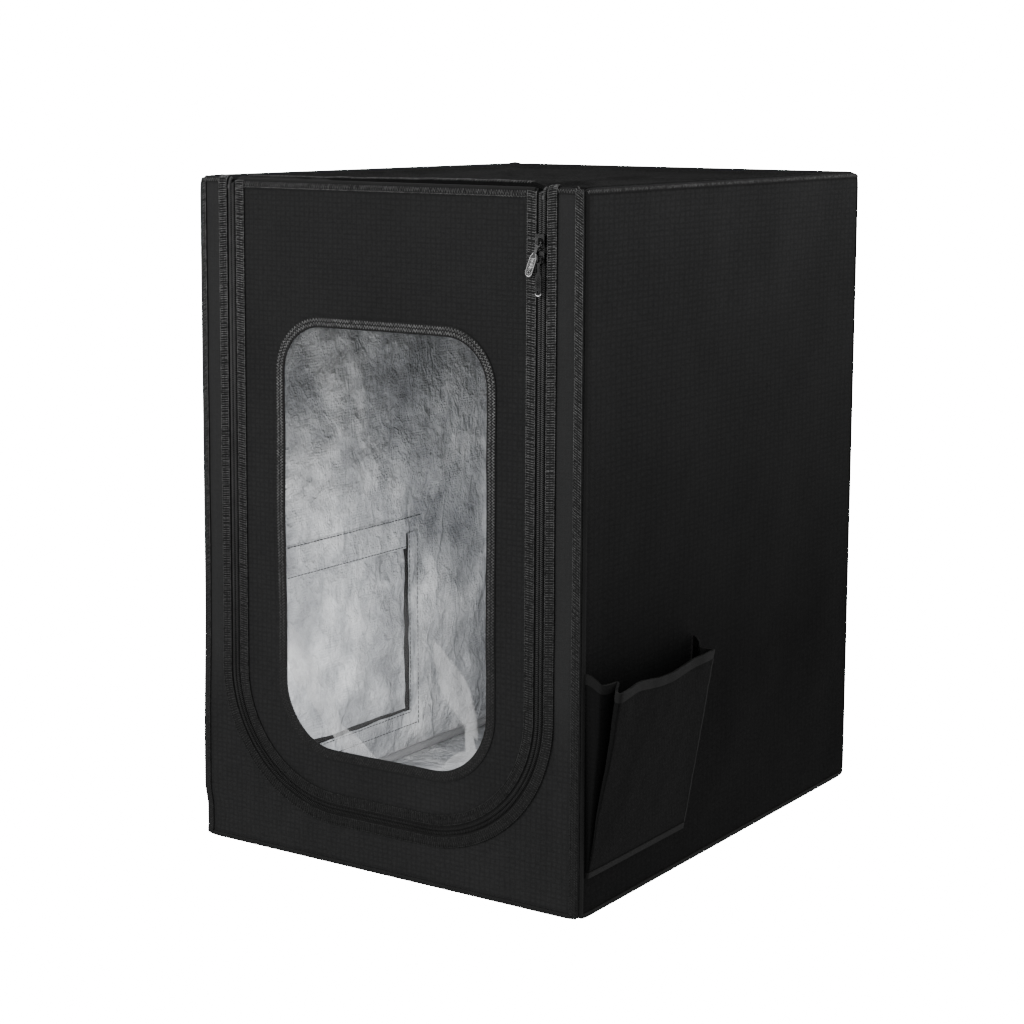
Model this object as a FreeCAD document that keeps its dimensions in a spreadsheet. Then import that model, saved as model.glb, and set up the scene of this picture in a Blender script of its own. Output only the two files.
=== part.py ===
import FreeCAD, Part
import Sketcher
import math
import os
import re

# Fabric enclosure for a desktop 3D printer: a plug-together tube frame inside a sewn cover with a
# U-shaped zip, a windowed front door that flips up over the roof, a side pocket and a cable port.
# Frame: +X to the right seen from the front, +Y to the rear, +Z up; the origin is the centre of
# the footprint on the floor. Everything is in millimetres.

DIMENSIONS = (
    # cover
    ("cover_width", 480), ("cover_depth", 600), ("cover_height", 720), ("skin", 1.5),
    ("binding", 1.2), ("binding_width", 9), ("corner_binding_width", 11), ("binding_side", 4),
    # frame of tubes and three-way corner connectors
    ("frame_inset", 8.6), ("tube_radius", 5), ("tube_bore", 4.2), ("spigot_radius", 4.1),
    ("spigot_bore", 3.3), ("spigot_length", 30), ("socket_radius", 5.1), ("arm_radius", 7),
    ("arm_length", 30), ("socket_floor", 6), ("upright_split", 360),
    # zip: chain centreline, tapes and coils
    ("zip_left", 46), ("zip_right", 48.5), ("zip_low", 62), ("zip_round", 136), ("zip_slot", 6),
    ("tape_reach", 17), ("tape_thickness", 0.6), ("chain_gap", 0.7), ("coil_reach", 3.3),
    ("coil_thickness", 2.2), ("door_drop", 2), ("header_width", 9), ("stop_height", 4),
    ("stop_gap", 0.4),
    # window in the door
    ("window_left", 114), ("window_right", 369), ("window_low", 125), ("window_high", 569),
    ("window_round_low", 65), ("window_round_high", 50), ("window_tape", 10.5), ("tape_proud", 1),
    ("film", 0.4), ("film_overlap", 8),
    # sliders and pulls
    ("slider_half_width", 4.8), ("slider_half_length", 6.5), ("slider_plate", 1.2),
    ("slider_base", 298.4), ("slider_top", 303.3), ("flange_inner", 3.7), ("flange_base", 301.1),
    ("flange_half_length", 4.5), ("post_half", 0.35), ("post_low", 2), ("post_high", 5.5),
    ("bridge_half_width", 0.75), ("bridge_half_length", 2.8), ("bridge_height", 4.6),
    ("bridge_wall", 0.9), ("bridge_leg", 1), ("slider_upper_height", 667.5),
    ("slider_lower_height", 651), ("pull_thickness", 1.2), ("pull_level", 306.75),
    ("pull_half_width", 3.2), ("pull_rail", 0.8), ("pull_bar", 0.6),
    ("loop_drop", 4.9), ("neck_half_width", 1.4), ("neck_end", 16), ("tab_start", 15),
    ("pull_length", 36), ("pull_window_start", 17), ("pull_window_end", 28),
    ("pull_window_half", 1.9), ("pull_hole_start", 31), ("pull_hole_end", 33.4),
    ("pull_hole_half", 1.2), ("pull_tilt", 24),
    # pocket on the right wall
    ("pocket_low", 42), ("pocket_high", 235), ("pocket_front_low", 11), ("pocket_rear_low", 203),
    ("pocket_front_high", 5.5), ("pocket_rear_high", 223), ("pocket_out_front", 38),
    ("pocket_out_rear", 24), ("pocket_band", 10), ("gusset_skin", 1.2), ("gusset_slack", 0.3),
    # cable port in the left wall, with its flap
    ("port_front", 120), ("port_rear", 375), ("port_low", 56), ("port_high", 278),
    ("port_border", 20), ("border_skin", 0.8), ("flap_margin", 17), ("flap_low", 38),
    ("flap_high", 302), ("strip_margin", 2), ("strip_width", 13), ("strip_skin", 0.8),
    ("strip_gap", 0.3), ("strip_high", 292), ("seam_low", 305), ("seam_high", 313),
)
ALIASES = {alias for alias, _ in DIMENSIONS}

doc = FreeCAD.newDocument("printer_enclosure_tent")
sizes = doc.addObject("Spreadsheet::Sheet", "sizes")
for row, (alias, value) in enumerate(DIMENSIONS, start=1):
    sizes.set(f"A{row}", alias)
    sizes.set(f"B{row}", str(value))
    sizes.setAlias(f"B{row}", alias)
doc.recompute()

parts = []


def bound(expression):
    """Write an expression of dimension names as one that reads the sheet."""
    def cell(match):
        return "sizes." + match.group() if match.group() in ALIASES else match.group()
    return re.sub(r"[a-z_]+", cell, expression)


def number(expression):
    return float(sizes.evalExpression(bound(expression)))


def bind(target, prop, expression):
    target.setExpression(prop, bound(expression))


def place(target, x="0", y="0", z="0", axis=None, angle=0):
    """Turn a sub-part about an axis through its own origin, then bind its position."""
    if axis is not None:
        target.Placement.Rotation = FreeCAD.Rotation(FreeCAD.Vector(*axis), angle)
    for letter, expression in zip("xyz", (x, y, z)):
        bind(target, f".Placement.Base.{letter}", expression)


def new_body(label):
    body = doc.addObject("PartDesign::Body", label)
    body.Label = label
    parts.append(body)
    return body


def new_sketch(body, name, role, offset):
    plane = next(item for item in body.Origin.OriginFeatures if item.Role == role)
    sketch = body.newObject("Sketcher::SketchObject", f"{body.Label}_{name}")
    sketch.AttachmentSupport = [(plane, "")]
    sketch.MapMode = "FlatFace"
    bind(sketch, ".AttachmentOffset.Base.z", offset)
    return sketch


def limit(sketch, kind, element, expression, point=1):
    """Constrain a line's point from the origin, or an arc's radius, to an expression."""
    value = number(expression)
    if kind == "Radius":
        constraint = Sketcher.Constraint(kind, element, value)
    else:
        constraint = Sketcher.Constraint(kind, -1, 1, element, point, value)
    index = sketch.addConstraint(constraint)
    bind(sketch, f"Constraints[{index}]", expression)


def rounded_box(sketch, left, right, low, high, round_low="0", round_high="0"):
    """Draw a rectangle whose lower and upper corners are rounded, each bound to the sheet."""
    x_low, x_high, y_low, y_high = (number(item) for item in (left, right, low, high))
    corners = [
        (x_high, y_low, -1, 1, round_low), (x_high, y_high, -1, -1, round_high),
        (x_low, y_high, 1, -1, round_high), (x_low, y_low, 1, 1, round_low),
    ]
    enters, leaves = [], []
    for index, (x, y, to_x, to_y, radius) in enumerate(corners):
        r = number(radius)
        along_x = FreeCAD.Vector(x + to_x * r, y, 0)
        along_y = FreeCAD.Vector(x, y + to_y * r, 0)
        enters.append(along_y if index % 2 else along_x)
        leaves.append(along_x if index % 2 else along_y)
    lines = [
        sketch.addGeometry(Part.LineSegment(leaves[index - 1], enters[index]), False)
        for index in range(4)
    ]
    for index, (x, y, to_x, to_y, radius) in enumerate(corners):
        before, after = lines[index], lines[(index + 1) % 4]
        r = number(radius)
        if r == 0:
            sketch.addConstraint(Sketcher.Constraint("Coincident", before, 2, after, 1))
            continue
        circle = Part.Circle(
            FreeCAD.Vector(x + to_x * r, y + to_y * r, 0), FreeCAD.Vector(0, 0, 1), r
        )
        start = (index - 1) * math.pi / 2
        arc = sketch.addGeometry(Part.ArcOfCircle(circle, start, start + math.pi / 2), False)
        sketch.addConstraint(Sketcher.Constraint("Tangent", before, 2, arc, 1))
        sketch.addConstraint(Sketcher.Constraint("Tangent", arc, 2, after, 1))
        limit(sketch, "Radius", arc, radius)
    for index, kind in enumerate(("Horizontal", "Vertical", "Horizontal", "Vertical")):
        sketch.addConstraint(Sketcher.Constraint(kind, lines[index]))
    limit(sketch, "DistanceY", lines[0], low)
    limit(sketch, "DistanceX", lines[1], right)
    limit(sketch, "DistanceY", lines[2], high)
    limit(sketch, "DistanceX", lines[3], left)
    return sketch


def polygon(sketch, points):
    """Draw a closed outline whose every corner is bound to the sheet."""
    corners = [FreeCAD.Vector(number(x), number(y), 0) for x, y in points]
    lines = [
        sketch.addGeometry(Part.LineSegment(corners[index - 1], corner), False)
        for index, corner in enumerate(corners)
    ]
    for index, (x, y) in enumerate(points):
        following = lines[(index + 1) % len(lines)]
        sketch.addConstraint(Sketcher.Constraint("Coincident", lines[index], 2, following, 1))
        limit(sketch, "DistanceX", lines[index], x, point=2)
        limit(sketch, "DistanceY", lines[index], y, point=2)
    return sketch


def pad(body, sketch, length, both_ways=False):
    feature = body.newObject("PartDesign::Pad", sketch.Name + "_pad")
    feature.Profile = sketch
    bind(feature, "Length", length)
    if both_ways:
        feature.SideType = "Symmetric"
    return feature


def cut_through(body, sketch):
    feature = body.newObject("PartDesign::Pocket", sketch.Name + "_cut")
    feature.Profile = sketch
    feature.Type = "ThroughAll"
    feature.SideType = "Symmetric"
    return feature


def flat_piece(label, role, offset, thickness, outline, hole=None):
    """Make a flat piece of cloth, film or tape: an outline padded from a plane, with any hole."""
    body = new_body(label)
    sketch = rounded_box(new_sketch(body, "outline", role, offset), *outline)
    pad(body, sketch, thickness)
    if hole is not None:
        cut_through(body, rounded_box(new_sketch(body, "hole", role, offset), *hole))
    return body


HALF_WIDTH = "cover_width / 2"
HALF_DEPTH = "cover_depth / 2"
BINDING_LOW_EDGE = "cover_height - binding_width"
DOOR_TOP = "cover_height - door_drop"
HEADER_LOW = "cover_height - door_drop - header_width"
SIDES = (("left", -1), ("right", 1))
ENDS = (("front", -1), ("rear", 1))
LEVELS = (("low", -1), ("high", 1))


# ---------------------------------------------------------------- tube frame

FRAME_X = "(cover_width / 2 - frame_inset)"
FRAME_Y = "(cover_depth / 2 - frame_inset)"
FRAME_Z = {"low": "frame_inset", "high": "cover_height - frame_inset"}


def ring(sketch, outer, inner):
    for radius in (outer, inner):
        circle = Part.Circle(FreeCAD.Vector(), FreeCAD.Vector(0, 0, 1), number(radius))
        element = sketch.addGeometry(circle, False)
        sketch.addConstraint(Sketcher.Constraint("Coincident", element, 3, -1, 1))
        limit(sketch, "Radius", element, radius)
    return sketch


def tube(label, role, start, length, position):
    body = new_body(label)
    sketch = ring(new_sketch(body, "section", role, start), "tube_radius", "tube_bore")
    pad(body, sketch, length)
    place(body, *position)
    return body


def corner_connector(label, position, turn):
    """Make one three-way elbow: three arms round a ball, each with a blind socket."""
    ball = doc.addObject("Part::Sphere", label + "_ball")
    bind(ball, "Radius", "arm_radius")
    pieces, sockets = [ball], []
    directions = (("x", (0, 1, 0), 90), ("y", (1, 0, 0), -90), ("z", (0, 0, 1), 0))
    for letter, axis, angle in directions:
        rotation = FreeCAD.Rotation(FreeCAD.Vector(*axis), angle)
        arm = doc.addObject("Part::Cylinder", f"{label}_arm_{letter}")
        bind(arm, "Radius", "arm_radius")
        bind(arm, "Height", "arm_length")
        arm.Placement.Rotation = rotation
        pieces.append(arm)
        socket = doc.addObject("Part::Cylinder", f"{label}_socket_{letter}")
        bind(socket, "Radius", "socket_radius")
        bind(socket, "Height", "arm_length")
        socket.Placement.Rotation = rotation
        bind(socket, f".Placement.Base.{letter}", "socket_floor")
        sockets.append(socket)
    star = doc.addObject("Part::MultiFuse", label + "_star")
    star.Shapes = pieces
    bores = doc.addObject("Part::MultiFuse", label + "_bores")
    bores.Shapes = sockets
    connector = doc.addObject("Part::Cut", label)
    connector.Label = label
    connector.Base = star
    connector.Tool = bores
    connector.Placement.Rotation = turn
    place(connector, *position)
    parts.append(connector)


# A quarter turn about Z brings the arms round to each corner; the upper ones also turn over.
UPRIGHT_TURN = {("front", "left"): 0, ("front", "right"): 90, ("rear", "right"): 180,
                ("rear", "left"): 270}
TURN_OVER = FreeCAD.Rotation(FreeCAD.Vector(1, 1, 0), 180)

for end, to_y in ENDS:
    for side, to_x in SIDES:
        corner_x = f"{to_x} * {FRAME_X}"
        corner_y = f"{to_y} * {FRAME_Y}"
        turn = FreeCAD.Rotation(FreeCAD.Vector(0, 0, 1), UPRIGHT_TURN[end, side])
        for level, _ in LEVELS:
            corner_connector(
                f"corner_connector_{end}_{side}_{level}",
                (corner_x, corner_y, FRAME_Z[level]),
                turn if level == "low" else turn * TURN_OVER,
            )
        tube(
            f"upright_{end}_{side}_lower", "XY_Plane", "frame_inset + socket_floor",
            "upright_split - frame_inset - socket_floor", (corner_x, corner_y, "0"),
        )
        upper = tube(
            f"upright_{end}_{side}_upper", "XY_Plane", "upright_split",
            "cover_height - frame_inset - socket_floor - upright_split",
            (corner_x, corner_y, "0"),
        )
        collar = ring(
            new_sketch(upper, "collar", "XY_Plane", "upright_split"), "tube_radius", "spigot_bore"
        )
        pad(upper, collar, "spigot_length / 6")
        spigot = ring(
            new_sketch(upper, "spigot", "XY_Plane", "upright_split - spigot_length"),
            "spigot_radius", "spigot_bore",
        )
        pad(upper, spigot, "spigot_length")

for level, _ in LEVELS:
    for end, to_y in ENDS:
        tube(
            f"tube_width_{end}_{level}", "YZ_Plane", f"socket_floor - {FRAME_X}",
            f"2 * {FRAME_X} - 2 * socket_floor", ("0", f"{to_y} * {FRAME_Y}", FRAME_Z[level]),
        )
    for side, to_x in SIDES:
        tube(
            f"tube_depth_{side}_{level}", "XZ_Plane", f"socket_floor - {FRAME_Y}",
            f"2 * {FRAME_Y} - 2 * socket_floor", (f"{to_x} * {FRAME_X}", "0", FRAME_Z[level]),
        )


# ---------------------------------------------------------------- sewn cover

FULL_X = (f"-{HALF_WIDTH}", HALF_WIDTH)
FULL_Y = (f"-{HALF_DEPTH}", HALF_DEPTH)
INNER_X = (f"skin - {HALF_WIDTH}", f"{HALF_WIDTH} - skin")
WALL_Z = ("skin", "cover_height - skin")


def zip_outline(reach, top, sign=1):
    """Outline of the zip's U, moved outwards from the chain by reach (inwards for sign -1)."""
    move = "+" if sign > 0 else "-"
    back = "-" if sign > 0 else "+"
    return (
        f"zip_left - {HALF_WIDTH} {back} {reach}", f"{HALF_WIDTH} - zip_right {move} {reach}",
        f"zip_low {back} {reach}", top, f"zip_round {move} {reach}",
    )


PORT_HOLE = (
    f"port_front - {HALF_DEPTH}", f"port_rear - {HALF_DEPTH}", "port_low", "port_high",
)

flat_piece("floor_panel", "XY_Plane", "0", "skin", (*FULL_X, *FULL_Y))
flat_piece("roof_panel", "XY_Plane", "cover_height - skin", "skin", (*FULL_X, *FULL_Y))
flat_piece("right_panel", "YZ_Plane", f"{HALF_WIDTH} - skin", "skin", (*FULL_Y, *WALL_Z))
flat_piece("left_panel", "YZ_Plane", f"-{HALF_WIDTH}", "skin", (*FULL_Y, *WALL_Z), PORT_HOLE)
flat_piece("rear_panel", "XZ_Plane", f"-{HALF_DEPTH}", "skin", (*INNER_X, *WALL_Z))
flat_piece(
    "front_surround", "XZ_Plane", f"{HALF_DEPTH} - skin", "skin", (*INNER_X, *WALL_Z),
    zip_outline("zip_slot", "cover_height + skin"),
)


def edge_binding(label, to_x, to_y):
    """Make the L-section tape that closes one upright seam."""
    body = new_body(label)
    outer_x, outer_y = f"{to_x} * ({HALF_WIDTH} + binding)", f"{to_y} * ({HALF_DEPTH} + binding)"
    wall_x, wall_y = f"{to_x} * {HALF_WIDTH}", f"{to_y} * {HALF_DEPTH}"
    face_x = f"{to_x} * ({HALF_WIDTH} - corner_binding_width)"
    side_y = f"{to_y} * ({HALF_DEPTH} - binding_side)"
    outline = [
        (face_x, wall_y), (face_x, outer_y), (outer_x, outer_y),
        (outer_x, side_y), (wall_x, side_y), (wall_x, wall_y),
    ]
    sketch = polygon(new_sketch(body, "section", "XY_Plane", "binding_width"), outline)
    pad(body, sketch, "cover_height - 2 * binding_width")


LEFT_CHAIN = f"zip_left - {HALF_WIDTH}"
RIGHT_CHAIN = f"{HALF_WIDTH} - zip_right"


def perimeter_binding(label, start, lip_start):
    """Make the tape round the roof's or the floor's edge: an upright band and a flat lip.

    The roof's band is open at the front between the two legs of the zip, where the door hangs.
    """
    body = new_body(label)
    outer = (
        f"-{HALF_WIDTH} - binding", f"{HALF_WIDTH} + binding",
        f"-{HALF_DEPTH} - binding", f"{HALF_DEPTH} + binding",
    )
    band = rounded_box(new_sketch(body, "band", "XY_Plane", start), *outer)
    pad(body, band, "binding_width")
    core = rounded_box(new_sketch(body, "core", "XY_Plane", start), *FULL_X, *FULL_Y)
    cut_through(body, core)
    if lip_start is not None:
        gap = rounded_box(
            new_sketch(body, "gap", "XY_Plane", start), f"{LEFT_CHAIN} - chain_gap",
            f"{RIGHT_CHAIN} + chain_gap", f"-{HALF_DEPTH} - binding_width", f"-{HALF_DEPTH}",
        )
        cut_through(body, gap)
        lip = rounded_box(new_sketch(body, "lip", "XY_Plane", lip_start), *outer)
        rounded_box(
            lip, f"binding_side - {HALF_WIDTH}", f"{HALF_WIDTH} - binding_side",
            f"binding_side - {HALF_DEPTH}", f"{HALF_DEPTH} - binding_side",
        )
        pad(body, lip, "binding")


for end, to_y in ENDS:
    for side, to_x in SIDES:
        edge_binding(f"corner_binding_{end}_{side}", to_x, to_y)
perimeter_binding("roof_binding", BINDING_LOW_EDGE, "cover_height")
perimeter_binding("floor_binding", "0", None)


# ---------------------------------------------------------------- door, window and zip

def window_outline(grow):
    return (
        f"window_left - {HALF_WIDTH} - {grow}", f"window_right - {HALF_WIDTH} + {grow}",
        f"window_low - {grow}", f"window_high + {grow}",
        f"window_round_low + {grow}", f"window_round_high + {grow}",
    )


flat_piece(
    "door_panel", "XZ_Plane", f"{HALF_DEPTH} - skin", "skin",
    zip_outline("zip_slot", DOOR_TOP, sign=-1), window_outline("0"),
)
flat_piece(
    "window_film", "XZ_Plane", f"{HALF_DEPTH} - skin - film", "film",
    window_outline("film_overlap"),
)
flat_piece(
    "window_binding", "XZ_Plane", HALF_DEPTH, "tape_proud",
    window_outline("window_tape"), window_outline("0"),
)

flat_piece(
    "door_header_binding", "XZ_Plane", HALF_DEPTH, "binding",
    (f"{LEFT_CHAIN} + chain_gap", f"{RIGHT_CHAIN} - chain_gap", HEADER_LOW, DOOR_TOP),
)

ABOVE = "cover_height + skin"
COIL_BASE = f"{HALF_DEPTH} + tape_thickness"
COIL_TOP = "cover_height - binding_width - stop_height - stop_gap"
flat_piece(
    "cover_zipper_tape", "XZ_Plane", HALF_DEPTH, "tape_thickness",
    zip_outline("tape_reach", BINDING_LOW_EDGE), zip_outline("chain_gap", ABOVE),
)
flat_piece(
    "cover_zipper_coil", "XZ_Plane", COIL_BASE, "coil_thickness",
    zip_outline("coil_reach", COIL_TOP), zip_outline("chain_gap", ABOVE),
)
flat_piece(
    "door_zipper_tape", "XZ_Plane", HALF_DEPTH, "tape_thickness",
    zip_outline("chain_gap", HEADER_LOW, sign=-1), zip_outline("tape_reach", ABOVE, sign=-1),
)
flat_piece(
    "door_zipper_coil", "XZ_Plane", COIL_BASE, "coil_thickness",
    zip_outline("chain_gap", COIL_TOP, sign=-1), zip_outline("coil_reach", ABOVE, sign=-1),
)

stops = new_body("zipper_top_stops")
for name, chain, to_x in (("left", LEFT_CHAIN, -1), ("right", RIGHT_CHAIN, 1)):
    edges = [f"{chain} + {to_x} * coil_reach", f"{chain} + {to_x} * chain_gap"]
    sketch = new_sketch(stops, name, "XZ_Plane", COIL_BASE)
    rounded_box(
        sketch, *(edges if to_x < 0 else edges[::-1]), f"{COIL_TOP} + stop_gap / 2",
        f"{COIL_TOP} + stop_height",
    )
    pad(stops, sketch, "coil_thickness").AllowMultiFace = True
stops.AllowCompound = True


# ---------------------------------------------------------------- sliders and pulls

def slider(label, height, turn):
    """Make a slider: two plates, side flanges, the wedge post and the bridge for its pull."""
    body = new_body(label)
    plate = ("-slider_half_width", "slider_half_width", "-slider_half_length",
             "slider_half_length", "pull_rail", "coil_thickness")
    for name, level in (("base", "slider_base"), ("top", "slider_top")):
        pad(body, rounded_box(new_sketch(body, name, "XZ_Plane", level), *plate), "slider_plate")
        if name == "base":
            post = rounded_box(
                new_sketch(body, "post", "XZ_Plane", "slider_base + slider_plate"),
                "-post_half", "post_half", "post_low", "post_high",
            )
            pad(body, post, "slider_top - slider_base - slider_plate")
    for name, left, right in (("left", "-slider_half_width", "-flange_inner"),
                              ("right", "flange_inner", "slider_half_width")):
        flange = rounded_box(
            new_sketch(body, "flange_" + name, "XZ_Plane", "flange_base"),
            left, right, "-flange_half_length", "flange_half_length",
        )
        pad(body, flange, "slider_top - flange_base")
    foot = "slider_top + slider_plate"
    block = rounded_box(
        new_sketch(body, "bridge", "YZ_Plane", "0"), f"-({foot} + bridge_height)", f"-({foot})",
        "-bridge_half_length", "bridge_half_length",
    )
    pad(body, block, "2 * bridge_half_width", both_ways=True)
    eye = rounded_box(
        new_sketch(body, "eye", "YZ_Plane", "0"), f"-({foot} + bridge_height - bridge_wall)",
        f"-({foot})", "bridge_leg - bridge_half_length", "bridge_half_length - bridge_leg",
    )
    cut_through(body, eye)
    place(body, RIGHT_CHAIN, "0", height, (0, 1, 0), turn)


def pull(label, height, tilt):
    """Make a pull: a loop for the bridge, a neck and a tab with a window and an end hole."""
    body = new_body(label)
    level = "pull_level - pull_thickness / 2"
    plates = (
        ("loop", "pull_half_width", "loop_drop", "-pull_bar", "pull_rail"),
        ("neck", "neck_half_width", "neck_end", "loop_drop - pull_bar", "0"),
        ("tab", "pull_half_width", "pull_length", "tab_start", "neck_half_width"),
    )
    for name, half, low, high, corner in plates:
        sketch = new_sketch(body, name, "XZ_Plane", level)
        rounded_box(sketch, f"-{half}", half, f"-({low})", f"-({high})", corner, corner)
        pad(body, sketch, "pull_thickness")
    cuts = (
        ("eye", "pull_half_width - pull_rail", "loop_drop - pull_rail", "pull_bar"),
        ("window", "pull_window_half", "pull_window_end", "pull_window_start"),
        ("hole", "pull_hole_half", "pull_hole_end", "pull_hole_start"),
    )
    for name, half, low, high in cuts:
        sketch = new_sketch(body, name, "XZ_Plane", level)
        cut_through(body, rounded_box(sketch, f"-({half})", half, f"-({low})", f"-({high})"))
    place(body, RIGHT_CHAIN, "0", height, (0, 1, 0), tilt)


slider("slider_body_upper", "slider_upper_height", 180)
slider("slider_body_lower", "slider_lower_height", 0)
pull("slider_pull_upper", "slider_upper_height", number("pull_tilt"))
pull("slider_pull_lower", "slider_lower_height", 0)


# ---------------------------------------------------------------- side pocket

def pocket_level(height):
    """Fraction of the pocket's height at which a level lies, as an expression."""
    return f"(({height}) - pocket_low) / (pocket_high - pocket_low)"


def pocket_y(edge, height):
    low, high = f"pocket_{edge}_low", f"pocket_{edge}_high"
    return f"{low} + ({high} - {low}) * {pocket_level(height)} - {HALF_DEPTH}"


def pocket_x(edge, height):
    return f"{HALF_WIDTH} + pocket_out_{edge} * {pocket_level(height)}"


def lofted(label, low, high, section):
    """Make a piece that runs straight from its section at one level to that at another."""
    body = new_body(label)
    sketches = [
        polygon(new_sketch(body, name, "XY_Plane", level), section(level))
        for name, level in (("low", low), ("high", high))
    ]
    loft = body.newObject("PartDesign::AdditiveLoft", label + "_loft")
    loft.Profile = sketches[0]
    loft.Sections = [sketches[1]]
    loft.Ruled = True


def pocket_strip(inner, outer):
    """Section of a band that follows the pocket's front panel, between two depths."""
    def section(height):
        corners = []
        for edge, depth in (("front", inner), ("front", outer), ("rear", outer), ("rear", inner)):
            corners.append((f"{pocket_x(edge, height)} + {depth}", pocket_y(edge, height)))
        return corners
    return section


def pocket_gusset(edge, inwards):
    """Section of the triangular side piece at the pocket's front or rear edge."""
    def section(height):
        near = pocket_y(edge, height)
        far = f"{near} {inwards} gusset_skin"
        outer = f"{pocket_x(edge, height)} - gusset_slack"
        return [(HALF_WIDTH, near), (outer, near), (outer, far), (HALF_WIDTH, far)]
    return section


lofted("pocket_front", "pocket_low", "pocket_high", pocket_strip("0", "skin"))
lofted("pocket_mouth_binding", "pocket_high - pocket_band", "pocket_high",
       pocket_strip("skin", "skin + tape_proud"))
lofted("pocket_hem", "pocket_low", "pocket_low + pocket_band",
       pocket_strip("skin", "skin + tape_proud"))
lofted("pocket_gusset_front", "pocket_low + pocket_band", "pocket_high",
       pocket_gusset("front", "+"))
lofted("pocket_gusset_rear", "pocket_low + pocket_band", "pocket_high",
       pocket_gusset("rear", "-"))


# ---------------------------------------------------------------- cable port

def grown_port(side, low, high):
    return (
        f"port_front - {HALF_DEPTH} - ({side})", f"port_rear - {HALF_DEPTH} + ({side})", low, high,
    )


HOOK_LEVEL = f"-({HALF_WIDTH} + strip_skin)"
LOOP_LEVEL = f"-({HALF_WIDTH} + 2 * strip_skin + strip_gap)"
FLAP_LEVEL = f"-({HALF_WIDTH} + 2 * strip_skin + strip_gap + skin)"
strip = (
    grown_port("strip_margin + strip_width", "port_low - strip_margin - strip_width", "strip_high"),
    grown_port("strip_margin", "port_low - strip_margin", ABOVE),
)
flat_piece(
    "port_border", "YZ_Plane", f"skin - {HALF_WIDTH}", "border_skin",
    grown_port("port_border", "port_low - port_border", "port_high + port_border"), PORT_HOLE,
)
flat_piece("flap_hook_strip", "YZ_Plane", HOOK_LEVEL, "strip_skin", *strip)
flat_piece("flap_loop_strip", "YZ_Plane", LOOP_LEVEL, "strip_skin", *strip)
flat_piece(
    "port_flap", "YZ_Plane", FLAP_LEVEL, "skin", grown_port("flap_margin", "flap_low", "flap_high"),
)
flat_piece(
    "flap_seam", "YZ_Plane", f"-({HALF_WIDTH} + skin)", "skin",
    grown_port("flap_margin", "seam_low", "seam_high"),
)


# ---------------------------------------------------------------- check and write

doc.recompute()
for item in doc.Objects:
    if "Invalid" in item.State or "Error" in item.State:
        raise RuntimeError(f"{item.Label} failed: {item.State}")
os.makedirs("parts", exist_ok=True)
for part in parts:
    shape = part.Shape
    if shape.isNull() or not shape.isValid() or not shape.Solids:
        raise RuntimeError(f"{part.Label} has no valid solid")
for part in parts:
    part.Shape.exportStep(os.path.join("parts", part.Label + ".step"))
print(len(parts), "parts written")
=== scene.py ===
"""Printer enclosure tent: the visual model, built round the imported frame.

Lengths in this script are millimetres until a mesh is made. Each face of the tent has its
own flat (u, v) cut and a place function that lays a flat point, at some height above the
cloth, on that face with its folds and rounded edges.
"""

import math

import bpy
import numpy as np
from mathutils import Matrix, Vector
from mathutils.geometry import delaunay_2d_cdt


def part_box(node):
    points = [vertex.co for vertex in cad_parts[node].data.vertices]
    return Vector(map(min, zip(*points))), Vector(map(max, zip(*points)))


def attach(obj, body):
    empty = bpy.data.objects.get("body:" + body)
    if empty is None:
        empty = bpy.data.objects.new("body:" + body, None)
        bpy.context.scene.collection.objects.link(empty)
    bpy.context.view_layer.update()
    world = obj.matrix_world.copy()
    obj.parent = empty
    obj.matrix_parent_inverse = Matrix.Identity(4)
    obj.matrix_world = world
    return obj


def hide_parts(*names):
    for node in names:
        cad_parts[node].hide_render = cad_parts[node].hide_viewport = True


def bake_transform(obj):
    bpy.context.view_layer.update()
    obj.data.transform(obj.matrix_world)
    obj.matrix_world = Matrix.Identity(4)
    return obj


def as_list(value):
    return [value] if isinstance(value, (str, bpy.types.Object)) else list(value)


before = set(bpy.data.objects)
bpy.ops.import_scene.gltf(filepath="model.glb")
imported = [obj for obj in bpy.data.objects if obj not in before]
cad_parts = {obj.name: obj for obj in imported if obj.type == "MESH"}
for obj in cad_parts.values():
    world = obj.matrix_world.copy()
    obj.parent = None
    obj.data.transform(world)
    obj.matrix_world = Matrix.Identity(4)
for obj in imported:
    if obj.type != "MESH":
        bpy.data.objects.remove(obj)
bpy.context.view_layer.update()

TAU = 2 * math.pi
ROOT, DOOR, FLAP = "enclosure", "door", "side_flap"


def mm_box(node):
    low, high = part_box(node)
    return np.array(low) * 1000, np.array(high) * 1000


HALF_W = mm_box("right_panel")[1][0]
HALF_D = mm_box("rear_panel")[1][1]
TOP = mm_box("roof_panel")[1][2]
CLOTH = 1.3
ROUND, EDGE_POWER, CORNER_POWER = 24.0, 8.0, 6.4
ZIP_TOPS = (-194.0, 191.5)

# Small numeric helpers


def smooth(x, low=0.0, high=1.0):
    t = np.clip((np.asarray(x, float) - low) / (high - low), 0, 1)
    return t * t * (3 - 2 * t)


def ripple(u, v, wave, seed, turns=7, stretch=(1.0, 1.0)):
    """Smooth noise of about unit height: sine waves with seeded directions and phases."""
    rng = np.random.default_rng(seed)
    total = np.zeros(np.broadcast(u, v).shape)
    for _ in range(turns):
        way, length, phase = rng.uniform(0, TAU), wave * rng.uniform(0.7, 1.5), rng.uniform(0, TAU)
        total += np.sin((u * stretch[0] * math.cos(way) + v * stretch[1] * math.sin(way))
                        * TAU / length + phase)
    return total / math.sqrt(turns)


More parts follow.
